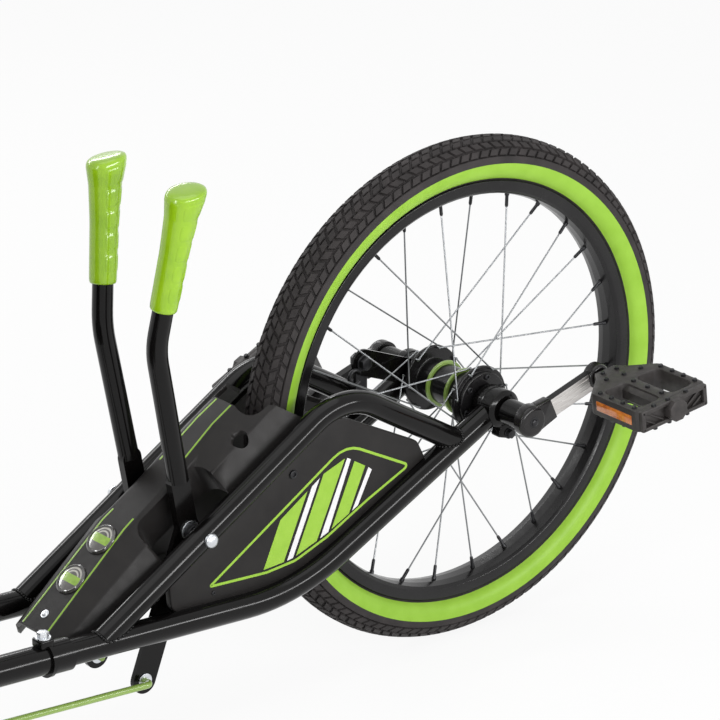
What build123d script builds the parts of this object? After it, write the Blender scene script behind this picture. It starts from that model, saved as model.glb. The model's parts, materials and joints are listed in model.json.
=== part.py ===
"""Low-slung pedal tricycle: driven front wheel, twin steering levers, swivelling rear axle.

Millimetres. +X forward, +Y to the rider's left, +Z up. The origin is on the floor, under the middle
of the overall length. Right-hand pieces (-Y) are modelled and mirrored to the left.
"""
from build123d import *
from math import atan2, cos, degrees, hypot, radians, sin
import os

# Front wheel
RIM_FLANGE_R = 212.5      # for a 20 inch tyre
RIM_W = 32.0
RIM_WALL = 3.0
RIM_DEPTH = 25.0          # flange to the spoke bed
SPOKE_BED_W = 12.0
BEAD_DROP = 6.5           # bead seat below the rim flange
TYRE_HEIGHT = 41.5        # tread above the rim flange
TYRE_W = 49.0
SIDEWALL_RISE = 19.0      # widest point of the tyre above the rim flange
WHEELBASE = 950.0

# Front hub, spokes and cranks
HUB_BARREL_R = 20.0
HUB_SHOULDER = 8.0        # step between the barrel and the ends outside the flanges
HUB_END_W = (5.0, 2.0)    # right and left ends outside the flanges
FLANGE_R = 33.0
FLANGE_T = 4.0
FLANGE_Y = 36.0
SPOKE_HOLE_EDGE = 1.5     # spoke holes inside the flange edge
SPOKE_LAY = 2.4           # spoke beside its flange
SPOKE_R = 0.8
SPOKE_DISH = 3.0          # spokes off the middle of the spoke bed
SPOKES_A_SIDE = 14
LACE_ANGLE = 72.0         # how far round a spoke leads between flange and rim
SPINDLE_R = 10.0
CUP_R = 19.0
CUP_WIDTH = 29.0
BOSS_R = 13.0
BOSS_W = 24.0
CRANK_LENGTH = 88.0
CRANK_ANGLE = 17.0        # right crank above the level, as parked
CRANK_W = 19.0
CRANK_T = 8.0
CRANK_INSET = 4.5         # bar ends inside the two centres
CRANK_CAP_T = 13.0
ROOT_CAP_EDGE = 6.5       # cap edges beyond the half width of the bar
TIP_CAP_EDGE = 3.0
PEDAL_SPINDLE_R = 6.0
SPINDLE_END = 8.0         # spindle end inside the pedal's outer edge
PEDAL_GAP = 6.0           # crank to pedal
PEDAL_T = 22.0
PEDAL_EDGE = 2.0
PEDAL_BOSS_R = 11.5
PEDAL_NOSE = 6.0          # boss past the outer edge
PEDAL_PITCH = 5.0         # toe of the pedal above the level, as parked
PEDAL_OUTLINE = ((13.0, 0.0), (20.0, 10.0), (44.0, 30.0), (44.0, 94.0), (40.0, 100.0))   # half width, along
WINDOW_AT = (23.5, 64.0)  # middle of a pedal opening: beside the spindle, along it
WINDOW_SIZE = (21.0, 48.0)
STUD = (4.5, 5.0, 2.5)    # across, along, tall
STUD_ROWS = ((39.0, (40.0, 56.0, 72.0, 88.0)), (0.0, (42.0, 64.0, 86.0)))   # beside, along
REFLECTOR = (3.0, 50.0, 10.0)
REFLECTOR_AT = 62.0       # along the spindle
REFLECTOR_SET = 0.5       # face inside the pedal's edge

# Frame tubes. Places are (behind, above) the front axle
TUBE_Y = 62.0             # middle plane of each side frame
MAIN_R = 12.7
REAR_TUBE_R = 14.3
LOOP_R = 11.5
MAIN_BEND = 220.0
LOOP_BEND = 70.0
MAIN_CORNER = (-250.7, -127.0)
LOOP_REAR = (-474.0, -112.0)
LOOP_CREST = (-188.8, 61.2)
LOOP_FRONT = (-46.0, -26.0)
COLLAR_X = -541.0         # where the rear frame slides over the front frame
COLLAR_W = 26.0
COLLAR_EDGE = 1.5         # collar and its lip outside the rear tube
LIP_EDGE = 3.0
LIP_W = 4.0
TELESCOPE = 70.0
BORE_SPARE = 7.0          # bore past the end of the front tube
REAR_OVERHANG = 60.0      # rear tubes behind the kingpin
TUBE_OVER_AXLE = 34.0     # rear tubes above the rear axle
CROSS_R = 9.0
CROSS_X = (-440.0, -300.0)

# Back-pedal brake arm
ARM_END = (-78.0, 32.0)
ARM_W = 26.0
ARM_T = 3.0
ARM_EYE_R = 24.0
ARM_BORE_GAP = 1.0
STRAP_W = 14.0
STRAP_WALL = 2.5
STRAP_EAR_T = 4.0

# Levers and steering
LEVER_Y = 37.0
LEVER_R = 10.0
PIVOT = (-357.0, -41.0)
LEVER_BEND = (-392.5, 146.5)
LEVER_BEND_Y = 41.0
LEVER_TOP = (-373.5, 285.3)
LEVER_TOP_Y = 58.6
LEVER_BEND_R = 90.0
LEVER_FLAT = 52.0         # flattened foot, above the pivot
LEVER_FOOT_W = 21.0
LEVER_FOOT_T = 9.0
TAIL_HOLE = (-410.0, -180.0)
TAIL_W = 26.0
TAIL_T = 5.0
PIVOT_R = 4.0
PIVOT_HEAD_R = 7.0
PIVOT_HEAD_T = 6.0
SPACER_R = 8.0
GRIP_LENGTH = 116.0
GRIP_CAP = 14.0           # closed end past the lever's tube
GRIP_TILT = 26.0          # end face leans back towards the rider
GRIP_SECTIONS = (         # share of the length, half width, half depth
    (0.0, 12.3, 12.3),
    (0.06, 13.0, 13.0),
    (0.5, 13.2, 13.8),
    (0.8, 14.6, 16.6),
    (0.97, 17.0, 20.5),
)
GRIP_CROWN = (13.0, 16.0, 3.0)    # half width, half depth and rise of the domed end
ROD_R = 3.3
ROD_ARM_Y = 70.0          # rod holes in the rear axle
ROD_DROP = 11.0           # rod below the axle plate's middle
ROD_SIDE = 10.0           # rod beside the lever's tail
HOOK_SPARE = 8.0          # hook ends past the lever and the axle plate
HOOK_BEND = 6.0

# Rear axle and wheels
SLICK_R = 127.0
SLICK_W = 90.0
SLICK_ROUND = 12.0
SLICK_HUB_R = 88.0
REAR_TRACK = 530.0        # between the middles of the rear wheels
DISC_RIM = 5.0            # rim of the disc inside the tyre
DISC_SET = 4.0            # disc inside the tyre's edges
DISC_DRAFT = 3.0
DISC_WEB = (20.0, 10.0)   # web outside and inside the middle of the wheel
DISC_HUB_R = 24.0
DISC_HUB_DRAFT = 6.0
HUB_CAP_R = 22.0
HUB_CAP_T = 12.0
POCKETS = 6
POCKET_R = (44.0, 64.0)   # round ends of a pocket in the disc, from the wheel's centre
POCKET_W = 22.0
POCKET_DEPTH = 8.0
KINGPIN_R = 8.0
KING_NUT_R = 13.0
KING_NUT_T = 10.0
SLEEVE_R = 19.0
SLEEVE_RISE = 6.0         # sleeve above the rear tubes
SLEEVE_LIFT = 12.0        # sleeve above the axle plate
BRACKET_L = 60.0
BRACKET_T = 12.0
YOKE_T = 8.0
YOKE_LENGTH = 220.0
YOKE_W = 52.0
YOKE_ROUND = 16.0
ROD_SLOT_HALF = 4.0       # half the travel of the rod in its slot
ROD_SLOT_PLAY = 2.5
BEAM_R = 12.7
BEAM_WELD = 14.0          # beam over the axle plate
STUB_R = 8.0
STUB_END_GAP = 1.0

# Covers
SHROUD_WALL = 3.0
SPINE_ROUND = 8.0
FLANK_BULGE = 0.62        # shoulder of the flank, as a share of its width and height
NOTCH_GAP = 34.0          # shroud to tread, and beside the tyre
NOTCH_SIDE = 8.0
NOTCH_ROUND = 22.0
LEVER_POCKET = (95.0, 187.0)      # along the loop from its rear weld
LEVER_POCKET_ROUND = 14.0
POCKET_FLOOR = 2.0
SHROUD_REACH = 80.0       # taller than the shroud, for its cuts
VENT_BEHIND = 9.0         # oval hole: behind the notch, beside the middle, above the loop
VENT_Y = 35.0
VENT_RISE = 30.0
VENT_SIZE = (9.0, 5.5)
DIALS = (26.0, 72.0)      # along the loop from its rear weld
DIAL_R = 15.5
DIAL_T = 2.5
PANEL_T = 9.0
PANEL_WALL = 3.0
PANEL_ROUND = 12.0
PANEL_LIP = 2.0           # rounded edge of the outer face
PANEL_EDGE = 0.3          # panel to the tubes around it
PANEL_NOSE_GAP = 14.0     # open strip under the front of the loop

# Seat. Places are (ahead of, above) the rear tubes at the kingpin
SEAT_WALL = 5.0
SEAT_ROUND = 16.0
SEAT_FLOOR = 29.0
SEAT_PAD = (92.0, 150.0, 4.0)     # raised flat in the seat: along, across, tall
SEAT_PAD_AT = 134.0
SEAT_PAD_ROUND = 14.0
SADDLE_AT = (170.0, 85.0)
SADDLE_W = 26.0
STAY_R = 8.0
STAY_BEHIND = 45.0
STAY_TOP = (12.0, 189.0)
STAY_TOP_Y = 78.0

# Fits
RUN = 0.05                # radial clearance of a turning fit
SEAT_GAP = 0.05           # between pieces that are welded, pressed or screwed together
CLEAR = 5.0               # between pieces that move past each other

TYRE_R = RIM_FLANGE_R + TYRE_HEIGHT
AXLE_Z = TYRE_R
FRONT_X = (WHEELBASE + SLICK_R - TYRE_R) / 2
REAR_X = FRONT_X - WHEELBASE
REAR_TUBE_Z = SLICK_R + TUBE_OVER_AXLE

nodes = {}


def spot(place, y):
    """A point from its place behind and above the front axle."""
    return Vector(FRONT_X + place[0], y, AXLE_Z + place[1])


def on_axle(ahead, y, above):
    """A point from its place by the middle of the rear axle."""
    return Vector(REAR_X + ahead, y, SLICK_R + above)


def between(a, b, share):
    return a + (b - a) * share


def bar(a, b, radius):
    """A round bar from point to point."""
    return Plane(origin=a, z_dir=b - a) * Cylinder(
        radius, (b - a).length, align=(Align.CENTER, Align.CENTER, Align.MIN))


def cross_pin(place, y0, y1, radius):
    """A round bar across the tricycle, through a place in side view."""
    return bar(spot(place, y0), spot(place, y1), radius)


def tube(points, radius, bend):
    """A round tube along straight runs and one bend radius."""
    path = FilletPolyline(*points, radius=bend)
    section = Plane(origin=path @ 0, z_dir=path % 0) * Circle(radius)
    return sweep(section, path=path)


def turned(face):
    """Revolve a face, drawn across and outward, about the crosswise axis."""
    return revolve(Plane.YZ * face, axis=Axis.Y)


def side_plate(outline, y_low, y_high):
    """A side-view face made a plate between two cross positions."""
    return extrude(Plane(origin=(0, y_high, 0), x_dir=(1, 0, 0), z_dir=(0, -1, 0)) * outline,
                   amount=y_high - y_low)


def slot_face(a, b, width):
    """A side-view slot with round ends from place a to place b."""
    ax, az = FRONT_X + a[0], AXLE_Z + a[1]
    bx, bz = FRONT_X + b[0], AXLE_Z + b[1]
    turn = degrees(atan2(bz - az, bx - ax))
    slot = SlotCenterToCenter(hypot(bx - ax, bz - az), width)
    return Pos((ax + bx) / 2, (az + bz) / 2) * Rot(0, 0, turn) * slot


def beside(a, b, share, shift):
    """A place on the line from place a to place b, shifted to its left."""
    run_x, run_z = b[0] - a[0], b[1] - a[1]
    length = hypot(run_x, run_z)
    return (a[0] + run_x * share - run_z / length * shift, a[1] + run_z * share + run_x / length * shift)


def to_left(part):
    return mirror(part, about=Plane.XZ)


def add_pair(name, right):
    nodes[name + "_right"] = right
    nodes[name + "_left"] = to_left(right)


def largest(part):
    return part.solids().sort_by(SortBy.VOLUME)[-1]


# Side frames: main tube up to the axle, loop tube over it, rear tube sleeved on behind
main_corner = spot(MAIN_CORNER, -TUBE_Y)
main_run = Vector(REAR_X, -TUBE_Y, REAR_TUBE_Z) - main_corner


def on_main(x):
    """The point of the right main tube's straight line at a distance behind the front axle."""
    return main_corner + main_run * ((x - MAIN_CORNER[0]) / (-WHEELBASE - MAIN_CORNER[0]))


collar = on_main(COLLAR_X)
front_end = on_main(COLLAR_X - TELESCOPE)
main_path = (front_end, main_corner, spot((0, 0), -TUBE_Y))
loop_path = (spot(LOOP_REAR, -TUBE_Y), spot(LOOP_CREST, -TUBE_Y), spot(LOOP_FRONT, -TUBE_Y))
main_space = tube(main_path, MAIN_R + SEAT_GAP, MAIN_BEND)

cup_in = TUBE_Y - CUP_WIDTH / 2
cup_out = TUBE_Y + CUP_WIDTH / 2
main_tube = tube(main_path, MAIN_R, MAIN_BEND)
main_tube -= cross_pin((0, 0), -cup_out, -cup_in, CUP_R + SEAT_GAP)
add_pair("frame_tube", main_tube)

bearing_cup = cross_pin((0, 0), -cup_out, -cup_in, CUP_R)
bearing_cup -= cross_pin((0, 0), -cup_out, -cup_in, SPINDLE_R + RUN)
nodes["bearing_cups"] = Compound([bearing_cup, to_left(bearing_cup)])

loop_tube = largest(tube(loop_path, LOOP_R, LOOP_BEND) - main_space)
loop_tube -= cross_pin(PIVOT, -TUBE_Y - 2 * LOOP_R, -TUBE_Y + 2 * LOOP_R, PIVOT_R + SEAT_GAP)
add_pair("loop_tube", loop_tube)

rear_end = on_main(-WHEELBASE - REAR_OVERHANG)
rear_tube = bar(collar, rear_end, REAR_TUBE_R)
rear_tube -= bar(collar, on_main(COLLAR_X - TELESCOPE - BORE_SPARE), MAIN_R + SEAT_GAP)
add_pair("rear_tube", rear_tube)
tube_space = bar(collar, rear_end, REAR_TUBE_R + SEAT_GAP)

collar_rear = on_main(COLLAR_X + SEAT_GAP)
clamp_collar = bar(collar_rear, on_main(COLLAR_X + COLLAR_W), REAR_TUBE_R + COLLAR_EDGE)
clamp_collar += bar(collar_rear, on_main(COLLAR_X + LIP_W), REAR_TUBE_R + LIP_EDGE)
clamp_collar -= bar(front_end, main_corner, MAIN_R + SEAT_GAP)
nodes["tube_collars"] = Compound([clamp_collar, to_left(clamp_collar)])

cross_tubes = []
for cross_x in CROSS_X:
    middle = on_main(cross_x)
    cross = bar(middle, Vector(middle.X, TUBE_Y, middle.Z), CROSS_R)
    cross_tubes.append(largest(cross - main_space - to_left(main_space)))
nodes["cross_tubes"] = Compound(cross_tubes)

# Front wheel
bead_r = RIM_FLANGE_R - BEAD_DROP
bead_y = RIM_W / 2 - RIM_WALL
wide_r = RIM_FLANGE_R + SIDEWALL_RISE
bulge = (0.9 * TYRE_W / 2, between(RIM_FLANGE_R, wide_r, 0.55))
tyre_face = make_face([
    Line((-bead_y, bead_r), (bead_y, bead_r)),
    Line((bead_y, bead_r), (bead_y, RIM_FLANGE_R)),
    ThreePointArc((bead_y, RIM_FLANGE_R), bulge, (TYRE_W / 2, wide_r)),
    ThreePointArc((TYRE_W / 2, wide_r), (0, TYRE_R), (-TYRE_W / 2, wide_r)),
    ThreePointArc((-TYRE_W / 2, wide_r), (-bulge[0], bulge[1]), (-bead_y, RIM_FLANGE_R)),
    Line((-bead_y, RIM_FLANGE_R), (-bead_y, bead_r)),
])
at_axle = Pos(FRONT_X, 0, AXLE_Z)
nodes["front_tyre"] = at_axle * turned(tyre_face)

spoke_bed = RIM_FLANGE_R - RIM_DEPTH
rim_floor = bead_r - SEAT_GAP
rim_inside = bead_y + SEAT_GAP
rim_knee = rim_floor - 2 * RIM_WALL
rim_side = [(SPOKE_BED_W / 2, spoke_bed), (RIM_W / 2, rim_knee), (RIM_W / 2, RIM_FLANGE_R),
            (rim_inside, RIM_FLANGE_R), (rim_inside, rim_floor)]
rim_outline = rim_side + [(-y, r) for y, r in reversed(rim_side)]
nodes["front_rim"] = at_axle * turned(make_face(Polyline(*rim_outline, close=True)))

hub_bore = SPINDLE_R + RUN
hub_end_r = HUB_BARREL_R + HUB_SHOULDER
flange_in = FLANGE_Y - FLANGE_T / 2
flange_out = FLANGE_Y + FLANGE_T / 2
hub_right = flange_out + HUB_END_W[0]
hub_left = flange_out + HUB_END_W[1]
nodes["front_hub"] = at_axle * turned(make_face(Polyline(
    (-hub_right, hub_bore), (-hub_right, hub_end_r), (-flange_out, hub_end_r), (-flange_out, FLANGE_R),
    (-flange_in, FLANGE_R), (-flange_in, HUB_BARREL_R), (flange_in, HUB_BARREL_R), (flange_in, FLANGE_R),
    (flange_out, FLANGE_R), (flange_out, hub_end_r), (hub_left, hub_end_r), (hub_left, hub_bore),
    close=True)))

hole_r = FLANGE_R - SPOKE_HOLE_EDGE
spoke_reach = spoke_bed - SPOKE_R / 2
lay_y = FLANGE_T / 2 + SPOKE_R + SPOKE_LAY
spokes = []
for side in (-1, 1):
    for count in range(SPOKES_A_SIDE):
        lead = 1 if count % 2 else -1
        rim_turn = radians((count + side / 4) * 360 / SPOKES_A_SIDE)
        hub_turn = rim_turn - lead * radians(LACE_ANGLE)
        hub_place = (hole_r * cos(hub_turn), hole_r * sin(hub_turn))
        rim_place = (spoke_reach * cos(rim_turn), spoke_reach * sin(rim_turn))
        spokes.append(bar(spot(hub_place, side * FLANGE_Y + lead * lay_y),
                          spot(rim_place, side * SPOKE_DISH), SPOKE_R))
nodes["front_spokes"] = Compound(spokes)

# Cranks and pedals
boss_in = cup_out + CLEAR
crank_in = boss_in + BOSS_W
crank_y = crank_in + CRANK_CAP_T / 2
crank_out = crank_in + CRANK_CAP_T
spindle = cross_pin((0, 0), -crank_in, crank_in, SPINDLE_R)
for side in (-1, 1):
    spindle += cross_pin((0, 0), side * boss_in, side * crank_in, BOSS_R)
nodes["crank_spindle"] = spindle


def on_crank(reach):
    """A place along the right crank."""
    return (reach * cos(radians(CRANK_ANGLE)), reach * sin(radians(CRANK_ANGLE)))


def opposite(part):
    """The left crank's copy: half a turn about the axle, on the other side."""
    return at_axle * Rot(0, 180, 0) * Pos(-FRONT_X, 0, -AXLE_Z) * to_left(part)


def crank_plate(gap):
    face = slot_face(on_crank(CRANK_INSET), on_crank(CRANK_LENGTH - CRANK_INSET), CRANK_W + 2 * gap)
    return side_plate(face, -crank_y - CRANK_T / 2 - gap, -crank_y + CRANK_T / 2 + gap)


caps = []
for reach, edge in ((0.0, ROOT_CAP_EDGE), (CRANK_LENGTH, TIP_CAP_EDGE)):
    cap = cross_pin(on_crank(reach), -crank_out, -crank_in - SEAT_GAP, CRANK_W / 2 + edge)
    caps.append(cap - crank_plate(SEAT_GAP))
nodes["crank_bar_right"] = crank_plate(0.0)
nodes["crank_bar_left"] = opposite(crank_plate(0.0))
nodes["crank_caps_right"] = Compound(caps)
nodes["crank_caps_left"] = Compound([opposite(cap) for cap in caps])

pedal_in = crank_out + PEDAL_GAP
pedal_axis = on_crank(CRANK_LENGTH)
pedal_reach = PEDAL_OUTLINE[-1][1]
pedal_place = Pos(FRONT_X + pedal_axis[0], -pedal_in, AXLE_Z + pedal_axis[1]) * Rot(0, -PEDAL_PITCH, 0)
half_outline = [(half, -along) for half, along in PEDAL_OUTLINE]
pedal_outline = half_outline + [(-x, y) for x, y in reversed(half_outline)]
pedal = extrude(make_face(Polyline(*pedal_outline, close=True)), amount=PEDAL_T / 2, both=True)
pedal = chamfer(pedal.faces().filter_by(Axis.Z).edges(), PEDAL_EDGE)
pedal += bar(Vector(0, 0, 0), Vector(0, -pedal_reach - PEDAL_NOSE, 0), PEDAL_BOSS_R)
stud_box = Box(STUD[0], STUD[1], PEDAL_T + 2 * STUD[2])
reflector = Box(*REFLECTOR)
reflector_x = PEDAL_OUTLINE[2][0] - REFLECTOR_SET - REFLECTOR[0] / 2
reflector_place = Pos(reflector_x, -REFLECTOR_AT, 0)
pocket = Pos(-REFLECTOR[0] / 2 - SEAT_GAP, 0, 0) * Box(
    PEDAL_T, REFLECTOR[1] + 2 * SEAT_GAP, REFLECTOR[2] + 2 * SEAT_GAP,
    align=(Align.MIN, Align.CENTER, Align.CENTER))
reflectors = []
for side in (1, -1):
    for stud_x, stud_rows in STUD_ROWS:
        for along in stud_rows:
            pedal += Pos(side * stud_x, -along, 0) * stud_box
    pedal -= Pos(side * WINDOW_AT[0], -WINDOW_AT[1], 0) * Box(*WINDOW_SIZE, 2 * PEDAL_T)
    cut = reflector_place * pocket
    lens = reflector_place * reflector
    pedal -= cut if side > 0 else mirror(cut, about=Plane.YZ)
    reflectors.append(pedal_place * (lens if side > 0 else mirror(lens, about=Plane.YZ)))
spindle_end = pedal_in + pedal_reach - SPINDLE_END
pedal_spindle = cross_pin(pedal_axis, -crank_out - SEAT_GAP, -spindle_end, PEDAL_SPINDLE_R)
pedal = pedal_place * pedal - cross_pin(pedal_axis, -crank_out, -spindle_end - 2 * RUN, PEDAL_SPINDLE_R + RUN)
nodes["pedal_right"] = pedal
nodes["pedal_left"] = opposite(pedal)
nodes["reflectors_right"] = Compound(reflectors)
nodes["reflectors_left"] = Compound([opposite(lens) for lens in reflectors])
nodes["pedal_spindles"] = Compound([pedal_spindle, opposite(pedal_spindle)])

# Back-pedal brake: reaction arm and the strap that holds it to the left loop tube
arm_out = cup_in - 2 * RUN
arm_in = arm_out - ARM_T
arm_face = slot_face((0, 0), ARM_END, ARM_W) + Pos(FRONT_X, AXLE_Z) * Circle(ARM_EYE_R)
brake_arm = side_plate(arm_face, arm_in, arm_out)
brake_arm -= cross_pin((0, 0), arm_in - ARM_T, arm_out + ARM_T, SPINDLE_R + ARM_BORE_GAP)
nodes["brake_arm"] = brake_arm

crest_left = spot(LOOP_CREST, TUBE_Y)
nose_left = spot(LOOP_FRONT, TUBE_Y)
strap_share = (ARM_END[0] - LOOP_CREST[0]) / (LOOP_FRONT[0] - LOOP_CREST[0])
strap_mid = between(crest_left, nose_left, strap_share)
strap_half = (nose_left - crest_left).normalized() * (STRAP_W / 2)
strap = bar(strap_mid - strap_half, strap_mid + strap_half, LOOP_R + STRAP_WALL)
strap_place = (strap_mid.X - FRONT_X, strap_mid.Z - AXLE_Z)
ear_in = arm_out + SEAT_GAP
strap += side_plate(slot_face(ARM_END, strap_place, STRAP_W), ear_in, ear_in + STRAP_EAR_T)
strap -= bar(crest_left, nose_left, LOOP_R + SEAT_GAP)
nodes["brake_strap"] = strap

# Levers, grips and steering rods
lever_pivot = spot(PIVOT, -LEVER_Y)
lever_bend = spot(LEVER_BEND, -LEVER_BEND_Y)
lever_top = spot(LEVER_TOP, -LEVER_TOP_Y)
lever_foot = between(lever_pivot, lever_bend, LEVER_FLAT / (lever_bend - lever_pivot).length)
foot_place = (lever_foot.X - FRONT_X, lever_foot.Z - AXLE_Z)
foot_out = LEVER_Y + LEVER_FOOT_T / 2
foot_in = LEVER_Y - LEVER_FOOT_T / 2
lever = tube((lever_foot, lever_bend, lever_top), LEVER_R, LEVER_BEND_R)
lever += side_plate(slot_face(PIVOT, foot_place, LEVER_FOOT_W), -foot_out, -foot_in)
lever += side_plate(slot_face(PIVOT, TAIL_HOLE, TAIL_W), -LEVER_Y - TAIL_T / 2, -LEVER_Y + TAIL_T / 2)
lever -= cross_pin(PIVOT, 0, -TUBE_Y, PIVOT_R + RUN)
lever -= cross_pin(TAIL_HOLE, 0, -TUBE_Y, ROD_R + RUN)
add_pair("lever", lever)

grip_way = (lever_top - lever_bend).normalized()
grip_foot = lever_top + grip_way * (GRIP_CAP - GRIP_LENGTH)
grip_plane = Plane(origin=grip_foot, z_dir=grip_way, x_dir=(0, 1, 0))
grip_faces = []
for share, half_width, half_depth in GRIP_SECTIONS:
    lean = GRIP_TILT * share ** 4
    section = grip_plane * Pos(0, 0, share * GRIP_LENGTH) * Rot(-lean, 0, 0) * Ellipse(half_width, half_depth)
    grip_faces.append(section)
crown_width, crown_depth, crown_rise = GRIP_CROWN
crown = grip_plane * Pos(0, 0, GRIP_LENGTH + crown_rise) * Rot(-GRIP_TILT, 0, 0) * Ellipse(crown_width, crown_depth)
grip_faces.append(crown)
grip = loft(grip_faces, ruled=True)
grip -= bar(lever_bend, lever_top, LEVER_R + SEAT_GAP)
add_pair("grip", grip)

bolt_out = TUBE_Y + LOOP_R
pivot_bolt = cross_pin(PIVOT, -bolt_out - PIVOT_HEAD_T, -foot_in + PIVOT_HEAD_T, PIVOT_R)
pivot_bolt += cross_pin(PIVOT, -bolt_out - PIVOT_HEAD_T, -bolt_out - SEAT_GAP, PIVOT_HEAD_R)
pivot_bolt += cross_pin(PIVOT, -TUBE_Y + LOOP_R + SEAT_GAP, -foot_out - 2 * RUN, SPACER_R)
pivot_bolt += cross_pin(PIVOT, -foot_in + 2 * RUN, -foot_in + PIVOT_HEAD_T, SPACER_R)
nodes["lever_pivots"] = Compound([pivot_bolt, to_left(pivot_bolt)])

rod_points = (
    spot(TAIL_HOLE, -LEVER_Y + TAIL_T / 2 + HOOK_SPARE),
    spot(TAIL_HOLE, -LEVER_Y - TAIL_T / 2 - ROD_SIDE),
    on_axle(0, -ROD_ARM_Y, -ROD_DROP),
    on_axle(0, -ROD_ARM_Y, YOKE_T / 2 + HOOK_SPARE),
)
add_pair("steering_rod", tube(rod_points, ROD_R, HOOK_BEND))

# Rear axle on its kingpin
sleeve_low = YOKE_T / 2 + SLEEVE_LIFT
sleeve_high = TUBE_OVER_AXLE + REAR_TUBE_R + SLEEVE_RISE
wheel_in = REAR_TRACK / 2 - SLICK_W / 2
wheel_out = REAR_TRACK / 2 + SLICK_W / 2
beam_in = YOKE_LENGTH / 2 - BEAM_WELD
stub_end = wheel_out - HUB_CAP_T - STUB_END_GAP
king_top = on_axle(0, 0, sleeve_high + KING_NUT_T)
yoke = Pos(REAR_X, 0, SLICK_R) * Box(YOKE_W, YOKE_LENGTH, YOKE_T)
yoke = fillet(yoke.edges().filter_by(Axis.Z), YOKE_ROUND)
rod_slot = extrude(SlotCenterToCenter(2 * ROD_SLOT_HALF, 2 * (ROD_R + ROD_SLOT_PLAY), rotation=90),
                   amount=YOKE_T, both=True)
for side in (-1, 1):
    yoke -= Pos(REAR_X, side * ROD_ARM_Y, SLICK_R) * rod_slot
    yoke += bar(on_axle(0, side * beam_in, 0), on_axle(0, side * (wheel_in - CLEAR), 0), BEAM_R)
    yoke += bar(on_axle(0, side * beam_in, 0), on_axle(0, side * stub_end, 0), STUB_R)
yoke += bar(on_axle(0, 0, 0), on_axle(0, 0, sleeve_low - 2 * RUN), SLEEVE_R)
yoke += bar(on_axle(0, 0, 0), king_top, KINGPIN_R)
yoke += bar(on_axle(0, 0, sleeve_high + 2 * RUN), king_top, KING_NUT_R)
nodes["rear_axle"] = yoke

bracket = bar(on_axle(0, 0, sleeve_low), on_axle(0, 0, sleeve_high), SLEEVE_R)
bracket += Pos(REAR_X, 0, REAR_TUBE_Z) * Box(BRACKET_L, 2 * TUBE_Y, BRACKET_T)
bracket -= bar(on_axle(0, 0, sleeve_low), on_axle(0, 0, sleeve_high), KINGPIN_R + RUN)
nodes["kingpin_bracket"] = largest(bracket - tube_space - to_left(tube_space))

slick_face = Pos(0, (SLICK_HUB_R + SLICK_R) / 2) * Rectangle(SLICK_W, SLICK_R - SLICK_HUB_R)
slick_face = fillet(slick_face.vertices().group_by(Axis.Y)[-1], SLICK_ROUND)
at_wheel = Pos(REAR_X, -REAR_TRACK / 2, SLICK_R)
add_pair("slick_tyre", at_wheel * turned(slick_face))

disc_r = SLICK_HUB_R - SEAT_GAP
disc_side = SLICK_W / 2 - DISC_SET
web_out, web_in = DISC_WEB
stub_bore = STUB_R + RUN
disc_face = make_face(Polyline(
    (SLICK_W / 2, stub_bore), (SLICK_W / 2, DISC_HUB_R), (web_in, DISC_HUB_R + DISC_HUB_DRAFT),
    (web_in, disc_r - DISC_RIM - DISC_DRAFT), (disc_side, disc_r - DISC_RIM), (disc_side, disc_r),
    (-disc_side, disc_r), (-disc_side, disc_r - DISC_RIM), (-web_out, disc_r - DISC_RIM - DISC_DRAFT),
    (-web_out, DISC_HUB_R + DISC_HUB_DRAFT), (-SLICK_W / 2 + HUB_CAP_T, DISC_HUB_R),
    (-SLICK_W / 2 + HUB_CAP_T, stub_bore), close=True))
disc = turned(disc_face)
disc += bar(Vector(0, -SLICK_W / 2 + HUB_CAP_T, 0), Vector(0, -SLICK_W / 2, 0), HUB_CAP_R)
pocket_face = Pos((POCKET_R[0] + POCKET_R[1]) / 2, 0) * SlotCenterToCenter(POCKET_R[1] - POCKET_R[0], POCKET_W)
for count in range(POCKETS):
    pocket_plane = Plane(origin=(0, -web_out + POCKET_DEPTH, 0), x_dir=(1, 0, 0), z_dir=(0, -1, 0))
    disc -= extrude(pocket_plane * Rot(0, 0, count * 360 / POCKETS) * pocket_face, amount=SLICK_W)
add_pair("slick_disc", at_wheel * disc)

# Centre shroud: a moulded hat section along the loop tubes, notched for the tyre, a pocket for each lever
loop_run = (spot(LOOP_CREST, 0) - spot(LOOP_REAR, 0)).normalized()
loop_rise = Vector(-loop_run.Z, 0, loop_run.X)
edge_y = TUBE_Y - LOOP_R - SEAT_GAP
# along the loop from its rear weld, spine half width, spine height, skirt half width, skirt height
SHROUD_SECTIONS = (
    (-30.0, 22.0, 16.0, 42.0, -8.0),
    (92.0, 20.0, 36.0, edge_y, 0.0),
    (143.0, 18.0, 37.5, edge_y, 0.0),
    (224.0, 15.0, 45.0, edge_y, 0.0),
    (290.0, 14.0, 44.0, edge_y, 0.0),
    (332.0, 14.0, 28.0, edge_y, 0.0),
)


def on_loop(along, rise, y):
    return spot(LOOP_REAR, y) + loop_run * along + loop_rise * rise


def shroud_section(row, wall):
    along, spine, height, skirt, low = row
    plane = Plane(origin=on_loop(along, 0, 0), x_dir=(0, 1, 0), z_dir=loop_run)
    flank = (between(spine, skirt, FLANK_BULGE) - wall, between(low, height, FLANK_BULGE) - wall)
    skin = FilletPolyline((wall - skirt, low - wall), (-flank[0], flank[1]), (wall / 2 - spine, height - wall),
                          (spine - wall / 2, height - wall), flank, (skirt - wall, low - wall),
                          radius=SPINE_ROUND - wall)
    return plane * make_face([skin, Line(skin @ 1, skin @ 0)])


def above_loop(face, along, y, low):
    """A cut over the loop's plane, from a face drawn along and across it."""
    plane = Plane(origin=on_loop(along, low, y), x_dir=loop_run, z_dir=loop_rise)
    return extrude(plane * face, amount=SHROUD_REACH)


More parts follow.
